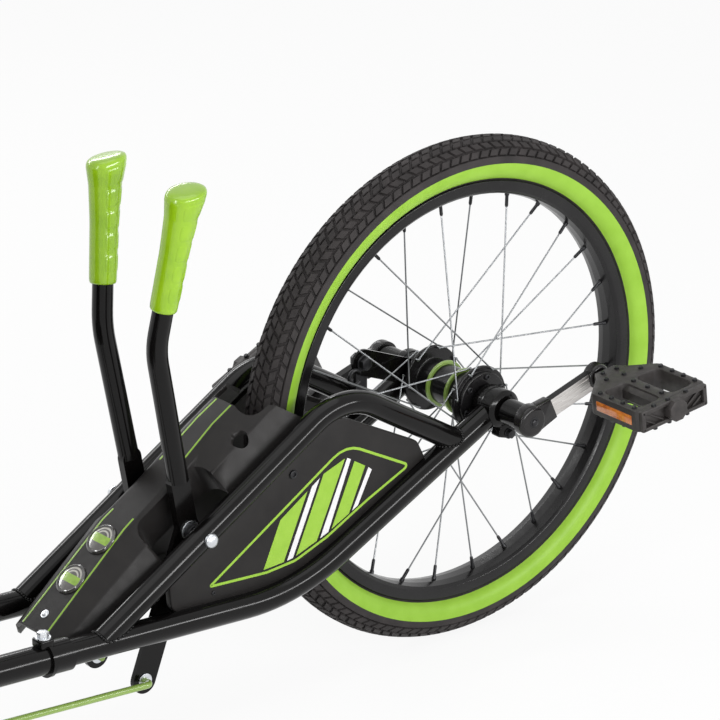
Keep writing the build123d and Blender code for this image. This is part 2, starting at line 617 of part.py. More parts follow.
shroud_form = loft([shroud_section(row, 0.0) for row in SHROUD_SECTIONS], ruled=True)
shroud = shroud_form - loft([shroud_section(row, SHROUD_WALL) for row in SHROUD_SECTIONS], ruled=True)
notch_r = TYRE_R + NOTCH_GAP
vent_line = on_loop(0, VENT_RISE, 0) - spot((0, 0), 0)
vent_dot = vent_line.dot(loop_run)
notch_along = -vent_dot - (vent_dot ** 2 - vent_line.length ** 2 + notch_r ** 2) ** 0.5
vent_along = notch_along - VENT_BEHIND
pocket_in = LEVER_Y - LEVER_R - CLEAR
pocket_out = edge_y + LEVER_POCKET_ROUND
pocket_mid = (LEVER_POCKET[0] + LEVER_POCKET[1]) / 2
pocket_l = LEVER_POCKET[1] - LEVER_POCKET[0]
for side in (-1, 1):
    pocket_y = side * (pocket_in + pocket_out) / 2
    inside = RectangleRounded(pocket_l, pocket_out - pocket_in, LEVER_POCKET_ROUND)
    outside = offset(inside, SHROUD_WALL)
    shroud += shroud_form & above_loop(outside, pocket_mid, pocket_y, POCKET_FLOOR)
    shroud -= above_loop(inside, pocket_mid, pocket_y, -LOOP_R)
    shroud -= above_loop(Ellipse(*VENT_SIZE), vent_along, side * VENT_Y, 0)
notch_y = TYRE_W / 2 + NOTCH_SIDE
notch = cross_pin((0, 0), -notch_y, notch_y, notch_r)
shroud -= fillet(notch.edges().filter_by(GeomType.CIRCLE), NOTCH_ROUND)
nodes["centre_shroud"] = largest(shroud)

dials = []
rear_row, front_row = SHROUD_SECTIONS[0], SHROUD_SECTIONS[1]
spine_slope = (front_row[2] - rear_row[2]) / (front_row[0] - rear_row[0])
dial_up = (loop_rise - loop_run * spine_slope).normalized()
for along in DIALS:
    dial_foot = on_loop(along, rear_row[2] + spine_slope * (along - rear_row[0]), 0)
    dials.append(bar(dial_foot + dial_up * SEAT_GAP, dial_foot + dial_up * DIAL_T, DIAL_R))
nodes["dials"] = Compound(dials)

# Side panels in the openings between loop and main tubes
tail_place = (-WHEELBASE, REAR_TUBE_Z - AXLE_Z)
under_loop = -LOOP_R - PANEL_EDGE
over_main = MAIN_R + PANEL_EDGE
to_axle = (spot((0, 0), -TUBE_Y) - main_corner).normalized()
bend_way = (to_axle + main_run.normalized()).normalized()
bend_lift = MAIN_BEND / to_axle.cross(bend_way).length - MAIN_BEND + over_main
panel_corners = (
    beside(LOOP_REAR, LOOP_CREST, 0.25, under_loop),
    beside(LOOP_REAR, LOOP_CREST, 0.90, under_loop),
    beside(LOOP_CREST, LOOP_FRONT, 0.09, under_loop - PANEL_NOSE_GAP),
    beside(MAIN_CORNER, (0, 0), 0.60, over_main),
    beside(MAIN_CORNER, (0, 0), 0.26, over_main),
    (MAIN_CORNER[0] + bend_way.X * bend_lift, MAIN_CORNER[1] + bend_way.Z * bend_lift),
    beside(MAIN_CORNER, tail_place, 0.09, -over_main),
    beside(MAIN_CORNER, tail_place, 0.205, -over_main),
)
panel_points = [(FRONT_X + x, AXLE_Z + z) for x, z in panel_corners]
panel_face = make_face(FilletPolyline(*panel_points, radius=PANEL_ROUND, close=True))
panel = side_plate(panel_face, -TUBE_Y, -TUBE_Y + PANEL_T)
panel = fillet(panel.faces().sort_by(Axis.Y)[0].edges(), PANEL_LIP)
panel -= side_plate(offset(panel_face, -PANEL_WALL), -TUBE_Y + PANEL_WALL, -TUBE_Y + PANEL_T)
add_pair("side_panel", panel)

# Bucket seat on two saddles and two stays
# ahead of the kingpin, above the rear tubes, lean, half bottom, half rim, wing height
SEAT_SECTIONS = (
    (285.0, 36.0, -26.0, 60.0, 78.0, 16.0),
    (258.0, SEAT_FLOOR, 0.0, 98.0, 122.0, 34.0),
    (190.0, SEAT_FLOOR, 0.0, 110.0, 150.0, 78.0),
    (78.0, SEAT_FLOOR, 0.0, 116.0, 166.0, 98.0),
    (22.0, 71.0, 46.0, 124.0, 172.0, 96.0),
    (-10.0, 183.0, 74.0, 132.0, 178.0, 72.0),
    (-47.0, 333.0, 76.0, 118.0, 150.0, 48.0),
    (-68.0, 419.0, 78.0, 84.0, 104.0, 22.0),
)


def on_rear(place, y):
    """A point from its place ahead of the kingpin and above the rear tubes."""
    return Vector(REAR_X + place[0], y, REAR_TUBE_Z + place[1])


def seat_section(row):
    ahead, above, lean, bottom, rim, wing = row
    plane = Plane(origin=on_rear((ahead, above), 0), x_dir=(0, -1, 0),
                  z_dir=(-cos(radians(lean)), 0, sin(radians(lean))))
    low = -SEAT_WALL / 2
    high = SEAT_WALL / 2
    outer = FilletPolyline((-rim, wing), (-bottom, low), (bottom, low), (rim, wing),
                           radius=SEAT_ROUND + SEAT_WALL)
    inner = FilletPolyline((SEAT_WALL - rim, wing), (SEAT_WALL - bottom, high), (bottom - SEAT_WALL, high),
                           (rim - SEAT_WALL, wing), radius=SEAT_ROUND)
    left_edge = Line((-rim, wing), (SEAT_WALL - rim, wing))
    right_edge = Line((rim, wing), (rim - SEAT_WALL, wing))
    return plane * make_face([outer, inner, left_edge, right_edge])


seat = loft([seat_section(row) for row in SEAT_SECTIONS], ruled=True)
pad_centre = on_rear((SEAT_PAD_AT, SEAT_FLOOR), 0)
pad = Pos(*pad_centre) * Box(SEAT_PAD[0], SEAT_PAD[1], SEAT_PAD[2] + SEAT_WALL / 2,
                             align=(Align.CENTER, Align.CENTER, Align.MIN))
seat += fillet(pad.edges().filter_by(Axis.Z), SEAT_PAD_ROUND)
nodes["seat"] = seat

saddles = []
for saddle_ahead in SADDLE_AT:
    foot = on_main(saddle_ahead - WHEELBASE)
    seat_under = REAR_TUBE_Z + SEAT_FLOOR - SEAT_WALL / 2 - SEAT_GAP
    saddle = Pos(foot.X, 0, foot.Z) * Box(SADDLE_W, 2 * (TUBE_Y + REAR_TUBE_R), seat_under - foot.Z,
                                          align=(Align.CENTER, Align.CENTER, Align.MIN))
    saddles.append(largest(saddle - tube_space - to_left(tube_space)))
nodes["seat_saddles"] = Compound(saddles)

stay = bar(on_main(-WHEELBASE - STAY_BEHIND), on_rear(STAY_TOP, -STAY_TOP_Y), STAY_R)
stay = largest(stay - seat - tube_space)
nodes["seat_stays"] = Compound([stay, to_left(stay)])

os.makedirs("parts", exist_ok=True)
for name, node in nodes.items():
    node.label = name
    export_step(node, f"parts/{name}.step")
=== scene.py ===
"""The tricycle's looks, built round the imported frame. Metres; +X forward, +Y left, +Z up."""
import json
from math import atan2, cos, degrees, pi, radians, sin, sqrt, tan

import bmesh
import bpy
from mathutils import Matrix, Vector


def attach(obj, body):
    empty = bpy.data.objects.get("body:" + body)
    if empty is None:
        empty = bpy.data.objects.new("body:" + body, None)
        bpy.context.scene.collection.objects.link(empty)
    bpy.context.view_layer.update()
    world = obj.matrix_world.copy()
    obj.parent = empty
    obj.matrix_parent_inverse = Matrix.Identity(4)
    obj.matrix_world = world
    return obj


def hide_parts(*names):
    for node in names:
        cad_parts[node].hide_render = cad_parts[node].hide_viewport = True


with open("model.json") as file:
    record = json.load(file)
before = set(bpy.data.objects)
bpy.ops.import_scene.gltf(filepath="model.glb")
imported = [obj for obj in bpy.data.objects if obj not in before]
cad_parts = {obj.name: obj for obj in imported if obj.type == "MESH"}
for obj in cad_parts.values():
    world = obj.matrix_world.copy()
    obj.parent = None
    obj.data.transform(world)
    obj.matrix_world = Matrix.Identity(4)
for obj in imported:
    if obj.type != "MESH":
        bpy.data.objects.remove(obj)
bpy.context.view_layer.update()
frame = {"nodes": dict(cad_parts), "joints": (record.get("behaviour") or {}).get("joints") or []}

MM = 0.001
MERGE_GAP = 0.005 * MM
places = {joint["name"]: Vector(joint["pos_m"]) for joint in frame["joints"]}
AXLE = places["front_wheel_spin"]
KINGPIN = places["rear_steer"]
ACROSS = Matrix.Diagonal((1, -1, 1, 1))
HALF_TURN = Matrix.Translation(AXLE) @ Matrix.Diagonal((-1, -1, -1, 1)) @ Matrix.Translation(-AXLE)
RIGHT = Vector((0, -1, 0))
LEFT = Vector((0, 1, 0))
UP = Vector((0, 0, 1))


def by_axle(ahead, across, above):
    """A point from millimetres ahead of, across from and above the front axle."""
    return AXLE + Vector((ahead, across, above)) * MM


def by_kingpin(ahead, across, above):
    """A point from millimetres ahead of, across from and above the middle of the rear axle."""
    return KINGPIN + Vector((ahead, across, above)) * MM


def at(place):
    """The upright frame at a place."""
    return Matrix.Translation(place)


# Finishes

def linear(code):
    """An sRGB hex colour as linear RGBA."""
    levels = [int(code[i:i + 2], 16) / 255 for i in (1, 3, 5)]
    return [v / 12.92 if v <= 0.04045 else ((v + 0.055) / 1.055) ** 2.4 for v in levels] + [1.0]


def add_node(tree, kind, inputs=None, **settings):
    """Add a node with its settings, values and links."""
    made = tree.nodes.new("ShaderNode" + kind)
    for name, value in settings.items():
        setattr(made, name, value)
    for name, value in (inputs or {}).items():
        if isinstance(value, bpy.types.NodeSocket):
            tree.links.new(value, made.inputs[name])
        else:
            made.inputs[name].default_value = value
    return made


def finish(name, colour, roughness, tones=None, drift=None, grain=None, **values):
    """A material: even values on the shader's own sockets, then tones, roughness and grain in patches."""
    material = bpy.data.materials.new(name)
    material.use_nodes = True
    tree = material.node_tree
    surface = tree.nodes["Principled BSDF"]
    surface.inputs["Base Color"].default_value = linear(colour)
    surface.inputs["Roughness"].default_value = roughness
    for key, value in values.items():
        surface.inputs[key.replace("_", " ")].default_value = value
    if tones:
        first, second, *patch = tones
        mix = add_node(tree, "Mix", {0: patches(material, *patch), 6: linear(first), 7: linear(second)},
                       data_type="RGBA")
        tree.links.new(mix.outputs[2], surface.inputs["Base Color"])
    if drift:
        low, high, *patch = drift
        level = add_node(tree, "MapRange", {"Value": patches(material, *patch), "To Min": low, "To Max": high})
        tree.links.new(level.outputs["Result"], surface.inputs["Roughness"])
    if grain:
        size, depth = grain
        emboss(material, patches(material, size), depth)
    return material


def patches(material, size, stretch=(1, 1, 1)):
    """Soft patches of a size in millimetres, as a level from 0 to 1."""
    tree = material.node_tree
    spot = add_node(tree, "TexCoord")
    lie = add_node(tree, "Mapping", {"Vector": spot.outputs["Object"], "Scale": stretch})
    noise = add_node(tree, "TexNoise", {"Vector": lie.outputs["Vector"], "Scale": 1 / (size * MM), "Detail": 3.0})
    level = add_node(tree, "MapRange", {"Value": noise.outputs["Fac"], "From Min": 0.3, "From Max": 0.7})
    return level.outputs["Result"]


def cells(material, size, **settings):
    """A grid of cells of a size in millimetres, whose distances stand as domes or pyramids."""
    tree = material.node_tree
    spot = add_node(tree, "TexCoord")
    return add_node(tree, "TexVoronoi", {"Vector": spot.outputs["Object"], "Scale": 1 / (size * MM)}, **settings)


def emboss(material, height, depth):
    """Raise the surface by a height pattern, to a depth in millimetres."""
    tree = material.node_tree
    bump = add_node(tree, "Bump", {"Height": height, "Distance": depth * MM})
    tree.links.new(bump.outputs["Normal"], tree.nodes["Principled BSDF"].inputs["Normal"])


# Gloss powder coat on steel tube: black, long crisp highlights, just rippled by orange peel
black_coat = finish(
    "powder_coated_steel_gloss_black", "#0A0909", 0.14, ("#080707", "#0F0E0E", 60.0), drift=(0.1, 0.18, 40.0),
    grain=(7.0, 0.002), Specular_IOR_Level=0.22)
# Injection-moulded ABS with a fine spark-eroded grain: charcoal, satin, soft broad highlights
black_abs = finish(
    "moulded_abs_satin_black", "#1B1919", 0.42, ("#181616", "#211F1E", 30.0), drift=(0.38, 0.48, 12.0),
    grain=(0.9, 0.05), Specular_IOR_Level=0.24)
# Vulcanised tread rubber: charcoal, matt, dusty in patches
tread_rubber = finish(
    "vulcanised_rubber_charcoal", "#2A2727", 0.72, ("#242121", "#332F2F", 18.0), grain=(0.8, 0.08),
    Specular_IOR_Level=0.35)
# Coloured sidewall rubber: smooth from the mould, even lime with a soft sheen
lime_rubber = finish(
    "vulcanised_rubber_lime", "#90BD38", 0.42, ("#8BB932", "#95C23F", 22.0), grain=(2.0, 0.03),
    Specular_IOR_Level=0.35)
# Plasticised PVC grips: glossy lime with milky highlights
lime_pvc = finish(
    "dip_moulded_pvc_gloss_lime", "#90BC10", 0.22, ("#8BB70C", "#96C116", 16.0), grain=(1.8, 0.03),
    Coat_Weight=0.5, Coat_Roughness=0.1)
# Painted steel rod: smooth enamel, a duller and paler lime than the plastics
lime_enamel = finish(
    "enamelled_steel_lime", "#8AA850", 0.28, ("#86A44A", "#8FAD57", 25.0), grain=(2.5, 0.02), Coat_Weight=0.3)
# Vinyl film stripes: flat printed lime and white under a clear film
lime_vinyl = finish("printed_vinyl_lime", "#90BC2C", 0.35, ("#8CB928", "#94BF33", 12.0), Coat_Weight=0.2)
white_vinyl = finish("printed_vinyl_white", "#E3E2E4", 0.35, ("#DFDEE0", "#E7E6E8", 12.0), Coat_Weight=0.2)
# Bright zinc plate on small steel parts: pale bluish metal with cloudy patches
zinc = finish(
    "bright_zinc_plated_steel", "#D3D6DA", 0.28, ("#CCD0D5", "#DADCDF", 5.0), drift=(0.2, 0.4, 4.0), Metallic=1.0)
# Drawn stainless wire: mid grey, fine lines drawn coarse enough to show
spoke_wire = finish(
    "drawn_stainless_wire", "#8C8E91", 0.34, ("#85878A", "#97999B", 8.0), drift=(0.26, 0.44, 6.0), Metallic=1.0)
# Polished flat bar: bright, with a light grain along it
bright_bar = finish(
    "polished_chromed_flat_bar", "#D6D2CF", 0.4, ("#CFCBC8", "#DCD9D6", 3.0, (0.1, 1, 1)),
    drift=(0.34, 0.48, 2.0, (0.1, 1, 1)), Metallic=1.0)
# Black-oxide fasteners: dark, dull metal
black_oxide = finish(
    "black_oxide_steel", "#2A2A2C", 0.36, ("#252527", "#343436", 6.0), drift=(0.28, 0.46, 3.0), Metallic=0.7)
# Anodised alloy rim: near black with a soft satin sheen round the hoop
rim_black = finish(
    "anodised_alloy_satin_black", "#151415", 0.22, ("#121112", "#1B1A1B", 35.0), drift=(0.17, 0.28, 10.0),
    Specular_IOR_Level=0.3)
# Glass-filled nylon of pedals and tube plugs: charcoal, dull, lightly scuffed
pedal_nylon = finish(
    "moulded_nylon_charcoal", "#2B2827", 0.5, ("#262322", "#353130", 9.0), drift=(0.42, 0.58, 6.0),
    grain=(1.2, 0.06), Specular_IOR_Level=0.4)
# Glossy moulded nylon of the crank covers: black with round highlights
crank_nylon = finish(
    "moulded_nylon_gloss_black", "#161415", 0.22, ("#131112", "#1D1B1B", 10.0), grain=(2.5, 0.03),
    Specular_IOR_Level=0.35)
# Moulded acrylic reflector: amber, a grid of small pyramids under a glossy face
amber = finish("moulded_acrylic_amber", "#C06A22", 0.14, ("#A8541A", "#D27C2C", 9.0), Coat_Weight=0.7)
prisms = cells(amber, 2.6, feature="F1", distance="CHEBYCHEV")
prisms.inputs["Randomness"].default_value = 0.0
emboss(amber, prisms.outputs["Distance"], 0.9)
# Blow-moulded polyethylene slick: hard, waxy black, streaked round by wear
slick_black = finish(
    "blow_moulded_polyethylene_black", "#1E1D1E", 0.38, ("#191819", "#2A2828", 25.0, (1, 0.15, 1)),
    drift=(0.3, 0.5, 15.0, (1, 0.2, 1)), grain=(1.5, 0.05))
# Moulded nylon disc: lime, satin
lime_nylon = finish("moulded_nylon_lime", "#8FC926", 0.36, ("#8AC421", "#95CE2E", 20.0), grain=(1.2, 0.04))
# Moulded polypropylene seat: black, with a pebbled leather grain from the mould
seat_black = finish(
    "moulded_polypropylene_black", "#201F20", 0.46, ("#1C1B1C", "#282627", 45.0), drift=(0.4, 0.54, 20.0))
emboss(seat_black, cells(seat_black, 3.0, feature="SMOOTH_F1").outputs["Distance"], 0.35)
# Smoked acrylic dial ring, glossy and dark, and the dark and lime bands printed under it; the pale grey rings on
# the front of each face are a painted reflection, standing in for the shine of a clear dome lens
dial_ring = finish("smoked_acrylic_grey", "#3A3837", 0.12, ("#33312F", "#454240", 8.0), Coat_Weight=0.6)
dial_dark = finish("printed_film_dark_grey", "#4A4643", 0.2, ("#433F3C", "#55514D", 5.0), Coat_Weight=0.8)
dial_painted_reflection = finish("painted_reflection_pale_grey", "#C9C7BD", 0.2, ("#C2C0B5", "#D2D0C7", 5.0), Coat_Weight=0.8)
dial_lime = finish("printed_film_lime", "#93C01C", 0.2, ("#88B515", "#A3CD34", 5.0), Coat_Weight=0.8)

CAD_FINISHES = (
    (black_coat, "frame_tube_right frame_tube_left loop_tube_right loop_tube_left rear_tube_right rear_tube_left "
                 "cross_tubes tube_collars brake_arm kingpin_bracket seat_stays lever_right lever_left "
                 "rear_axle seat_saddles crank_spindle"),
    (black_oxide, "brake_strap pedal_spindles"),
    (spoke_wire, "front_spokes"),
    (lime_enamel, "steering_rod_right steering_rod_left"),
    (lime_nylon, "slick_disc_right slick_disc_left"),
)
for material, names in CAD_FINISHES:
    for name in names.split():
        for holder in frame["nodes"][name].material_slots:
            holder.material = material


# Ways of making pieces

def shown(name, data):
    """A new object in the scene."""
    made = bpy.data.objects.new(name, data)
    bpy.context.scene.collection.objects.link(made)
    return made


def piece(name, bm, body, slot, *finishes, replaces=(), sharp=35.0):
    """Close a mesh, give it its finishes and let it ride on a body."""
    bmesh.ops.remove_doubles(bm, verts=bm.verts, dist=MERGE_GAP)
    bmesh.ops.recalc_face_normals(bm, faces=bm.faces)
    for face in bm.faces:
        face.smooth = True
    mesh = bpy.data.meshes.new(name)
    bm.to_mesh(mesh)
    bm.free()
    mesh.set_sharp_from_angle(angle=radians(sharp))
    for material in finishes:
        mesh.materials.append(material)
    made = shown(name, mesh)
    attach(made, body)
    if replaces:
        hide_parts(*replaces)
    return made


def pair(name, build, body, slot, *finishes, replaces=(), flip=ACROSS, **settings):
    """A right-hand piece, built into a new mesh, and its copy on the left."""
    made = []
    for hand, change in (("right", Matrix.Identity(4)), ("left", flip)):
        bm = bmesh.new()
        build(bm)
        bmesh.ops.transform(bm, matrix=change, verts=bm.verts)
        nodes = [node.format(hand) for node in replaces]
        made.append(piece(f"{name}_{hand}", bm, body.format(hand), slot, *finishes, replaces=nodes, **settings))
    return made


def modify(made, name, kind, **settings):
    """Add a modifier with its settings."""
    added = made.modifiers.new(name, kind)
    for key, value in settings.items():
        setattr(added, key, value)


def smoothed(made, levels):
    """Round a piece off with a subdivision surface."""
    modify(made, "rounding", "SUBSURF", levels=levels, render_levels=levels, boundary_smooth="ALL")


def moved(x, y, z):
    """A shift in millimetres."""
    return at(Vector((x, y, z)) * MM)


def stand(foot, way):
    """The place of a piece whose own upright axis points along a way."""
    return at(foot) @ Vector(way).to_track_quat("Z", "Y").to_matrix().to_4x4()


def arc(middle, reach, start, end, steps):
    """Points of an arc about a middle; degrees from the first axis."""
    turns = [radians(start + (end - start) * i / steps) for i in range(steps + 1)]
    return [(middle[0] + reach * cos(t), middle[1] + reach * sin(t)) for t in turns]


def curve(a, b, c, steps):
    """Points of a smooth bend from a to c, pulled towards b."""
    shares = [i / steps for i in range(steps + 1)]
    return [((1 - t) ** 2 * a[0] + 2 * t * (1 - t) * b[0] + t * t * c[0],
             (1 - t) ** 2 * a[1] + 2 * t * (1 - t) * b[1] + t * t * c[1]) for t in shares]


def rounded(corners, steps=4):
    """A closed outline through corners (first, second, round), each rounded to an arc."""
    outline = []
    for i, (first, second, radius) in enumerate(corners):
        here = Vector((first, second))
        if not radius:
            outline.append((first, second))
            continue
        before = (Vector(corners[i - 1][:2]) - here).normalized()
        after = (Vector(corners[(i + 1) % len(corners)][:2]) - here).normalized()
        half = before.angle(after) / 2
        middle = here + (before + after).normalized() * (radius / sin(half))
        begin = here + before * (radius / tan(half)) - middle
        last = here + after * (radius / tan(half)) - middle
        start = atan2(begin.y, begin.x)
        turn = atan2(begin.x * last.y - begin.y * last.x, begin.dot(last))
        outline += arc(middle, radius, degrees(start), degrees(start + turn), steps)
    return outline


def reading(table, place):
    """A table's values at a place between its rows."""
    for low, high in zip(table, table[1:]):
        if place <= high[0]:
            share = (place - low[0]) / (high[0] - low[0])
            return [a + (b - a) * share for a, b in zip(low[1:], high[1:])]
    return list(table[-1][1:])


def edges_of(verts):
    """Every edge that meets one of the vertices."""
    return list(dict.fromkeys(e for v in verts for e in v.link_edges))


def round_edges(bm, edges, offset, segments=2):
    """Bevel edges to a round of an offset in millimetres."""
    bmesh.ops.bevel(bm, geom=edges, offset=offset * MM, offset_type="OFFSET", segments=segments, profile=0.5,
                    affect="EDGES", material=-1)


def skin(bm, rows):
    """Join rows of edges, each to the next."""
    for first, second in zip(rows, rows[1:]):
        bmesh.ops.bridge_loops(bm, edges=first + second)


def extruded(bm, faces, way):
    """Pull faces out along a way to a closed solid."""
    pulled = bmesh.ops.extrude_face_region(bm, geom=faces)
    tops = [g for g in pulled["geom"] if isinstance(g, bmesh.types.BMVert)]
    bmesh.ops.translate(bm, vec=way, verts=tops)
    bmesh.ops.recalc_face_normals(bm, faces=bm.faces)


def raise_film(bm, thick):
    """Give flat faces the thickness of a film, in millimetres."""
    bmesh.ops.recalc_face_normals(bm, faces=bm.faces)
    bmesh.ops.solidify(bm, geom=bm.faces[:], thickness=thick * MM)


def turned(bm, outline, place, steps=48):
    """Turn an outline of (radius, height) millimetres about a place's upright axis; off it, the outline closes."""
    points = [bm.verts.new(place @ Vector((radius * MM, 0, height * MM))) for radius, height in outline]
    edges = [bm.edges.new(ends) for ends in zip(points, points[1:])]
    if outline[0][0]:
        edges.append(bm.edges.new((points[-1], points[0])))
    bmesh.ops.spin(bm, geom=points + edges, cent=place.translation, axis=place.to_3x3() @ UP,
                   angle=2 * pi, steps=steps, use_merge=True)


def plate(bm, loops, place, tall, edge=0.0):
    """Fill an outline, less its holes, and raise it to a plate with rounded edges."""
    edges = []
    for outline in loops:
        points = [bm.verts.new(place @ Vector((x * MM, y * MM, 0))) for x, y in outline]
        edges += [bm.edges.new(ends) for ends in zip(points, points[1:] + points[:1])]
    fill = bmesh.ops.triangle_fill(bm, edges=edges, use_beauty=True)
    faces = [g for g in fill["geom"] if isinstance(g, bmesh.types.BMFace)]
    extruded(bm, faces, place.to_3x3() @ Vector((0, 0, tall * MM)))
    if edge:
        rims = [e for e in bm.edges if len(e.link_faces) == 2 and e.calc_face_angle() > radians(60)]
        round_edges(bm, rims, edge)


def block(bm, size, place, edge=0.0, segments=2):
    """A block of a size in millimetres with rounded edges."""
    made = bmesh.ops.create_cube(bm, size=MM, matrix=place @ Matrix.Diagonal((*size, 1)))
    if edge:
        round_edges(bm, edges_of(made["verts"]), edge, segments)
    return made["verts"]


def hex_head(bm, foot, way, across, tall):
    """A hexagon head or nut standing on a foot, its top corners chamfered."""
    place = stand(foot, way) @ at((0, 0, tall * MM / 2))
    radius = across * MM / sqrt(3)
    made = bmesh.ops.create_cone(bm, cap_ends=True, segments=6, radius1=radius, radius2=radius,
                                 depth=tall * MM, matrix=place)
    way = Vector(way).normalized()
    high = max(v.co.dot(way) for v in made["verts"])
    top = [e for e in edges_of(made["verts"]) if all(high - v.co.dot(way) < 0.01 * MM for v in e.verts)]
    round_edges(bm, top, 0.14 * tall)


def washer(bm, foot, way, radius, thick, hole=0.5):
    """A flat washer lying on a foot."""
    turned(bm, rounded(((hole, 0, 0), (radius, 0, 0.2), (radius, thick, 0.3), (hole, thick, 0))),
           stand(foot, way), 32)


def washer_bolt(bm, foot, way, radius, thick, across, tall):
    """A hexagon head sunk a little into its washer."""
    washer(bm, foot, way, radius, thick)
    hex_head(bm, foot + way * (thick - 0.2) * MM, way, across, tall)


def domed_head(bm, foot, way, radius, tall):
    """A round bolt head, flat below and domed above."""
    outline = [(0, 0), (radius, 0), (radius, 0.25 * tall)]
    outline += [(radius * cos(t), 0.25 * tall + 0.75 * tall * sin(t)) for t in (0.3, 0.6, 0.9, 1.2)]
    turned(bm, outline + [(0, tall)], stand(foot, way), 32)


def socket_screw(bm, foot, way, radius, tall):
    """A round screw head with a recess for the key."""
    deep = 0.55 * tall
    corners = ((0, tall - deep, 0), (0.45 * radius, tall - deep, 0), (0.5 * radius, tall, 0.1 * radius),
               (radius, tall, 0.3 * radius), (radius, 0, 0), (0, 0, 0))
    turned(bm, rounded(corners, 3), stand(foot, way), 20)


# Camera at the photograph's station
camera = bpy.data.cameras.new("photo_camera")
camera.lens = 259.8
camera.sensor_width = 36.0
camera.clip_end = 100.0
station = shown("photo_camera", camera)
look = Matrix(((0.7747, 0.2275, -0.5900), (-0.6323, 0.2787, -0.7228), (0.0, 0.9330, 0.3598)))
station.matrix_world = at((-2.6339, -3.5857, 2.0966)) @ look.to_4x4()
bpy.context.scene.camera = station


# Pale seamless floor, white all round, soft boxes and strips
def looked_at(tree):
    """1 for rays that show the studio to the eye, straight or by reflection, and 0 for its light."""
    ray = add_node(tree, "LightPath")
    return add_node(tree, "Math", {0: ray.outputs["Is Camera Ray"], 1: ray.outputs["Is Glossy Ray"]},
                    operation="ADD", use_clamp=True).outputs["Value"]


FLOOR_GLOW = 0.9          # share of the floor's white that no shadow darkens
paper = finish("seamless_paper_white", "#F9F9F9", 0.9, Specular_IOR_Level=0.0)
paper_tree = paper.node_tree
glow_share = add_node(paper_tree, "Math", {0: looked_at(paper_tree), 1: FLOOR_GLOW}, operation="MULTIPLY")
glow = add_node(paper_tree, "Emission", {"Color": (1, 1, 1, 1), "Strength": 1.0})
paper_mix = add_node(paper_tree, "MixShader", {0: glow_share.outputs["Value"],
                                               1: paper_tree.nodes["Principled BSDF"].outputs["BSDF"],
                                               2: glow.outputs["Emission"]})
paper_tree.links.new(paper_mix.outputs["Shader"], paper_tree.nodes["Material Output"].inputs["Surface"])
floor_bm = bmesh.new()
bmesh.ops.create_circle(floor_bm, cap_ends=True, segments=64, radius=30.0)
floor_mesh = bpy.data.meshes.new("studio_floor")
floor_bm.to_mesh(floor_mesh)
floor_bm.free()
floor_mesh.materials.append(paper)
floor = shown("studio_floor", floor_mesh)

SKY_LIGHT = 0.42          # the sky's strength as light; to the eye it is white
world = bpy.data.worlds.new("white_studio")
world.use_nodes = True
bpy.context.scene.world = world
sky = world.node_tree
sky_level = add_node(sky, "MapRange", {"Value": looked_at(sky), "To Min": SKY_LIGHT, "To Max": 1.0})
sky.links.new(sky_level.outputs["Result"], sky.nodes["Background"].inputs["Strength"])
sky.nodes["Background"].inputs["Color"].default_value = (1, 1, 1, 1)

SOFT_BOXES = (    # name, place, aim, wide, tall, watts
    ("overhead_box", (0.1, -0.2, 2.6), (0.1, 0.0, 0.2), 2.2, 2.2, 16.0),
    ("right_strip", (0.4, -1.9, 0.78), (0.0, 0.0, 0.3), 2.4, 0.2, 28.0),
    ("left_strip", (0.2, 1.9, 1.3), (0.0, 0.0, 0.3), 2.4, 0.14, 12.0),
    ("rear_strip", (-2.3, -0.7, 1.0), (-0.1, 0.0, 0.35), 0.12, 1.8, 16.0),
)
for name, place, aim, wide, tall, watts in SOFT_BOXES:
    lamp = bpy.data.lights.new(name, "AREA")
    lamp.shape = "RECTANGLE"
    lamp.size = wide
    lamp.size_y = tall
    lamp.energy = watts
    shown(name, lamp).matrix_world = stand(place, Vector(place) - Vector(aim))
bpy.context.scene.view_settings.view_transform = "Standard"

# Front tyre: carcass with lime bands, tread blocks standing on it
WHEEL = stand(AXLE, LEFT)
CROWN_MID = 229.4         # middle of the tread's round section, from the axle
CROWN_R = 24.5
TREAD_DEPTH = 2.2
BAND = (214.7, 231.5)
tyre_half = arc((CROWN_MID, 0), CROWN_R - TREAD_DEPTH, 0, 66, 10)
tyre_half += arc((CROWN_MID, 0), CROWN_R, 69, 85, 4)
tyre_half += curve((BAND[1], 24.3), (219.0, 24.2), (BAND[0], 15.6), 8)
tyre_half += [(213.6, 14.4), (212.6, 13.0), (206.6, 12.8)]
tyre = bmesh.new()
turned(tyre, [(r, -y) for r, y in reversed(tyre_half)] + tyre_half[1:], WHEEL, 160)
for face in tyre.faces:
    middle = WHEEL.inverted() @ face.calc_center_median()
    if BAND[0] * MM < middle.xy.length < BAND[1] * MM and abs(middle.z) > 13 * MM:
        face.material_index = 1
piece("front_tyre_carcass", tyre, "front_wheel", "front_tyre_rubber", tread_rubber, lime_rubber,
      replaces=["front_tyre"], sharp=30.0)

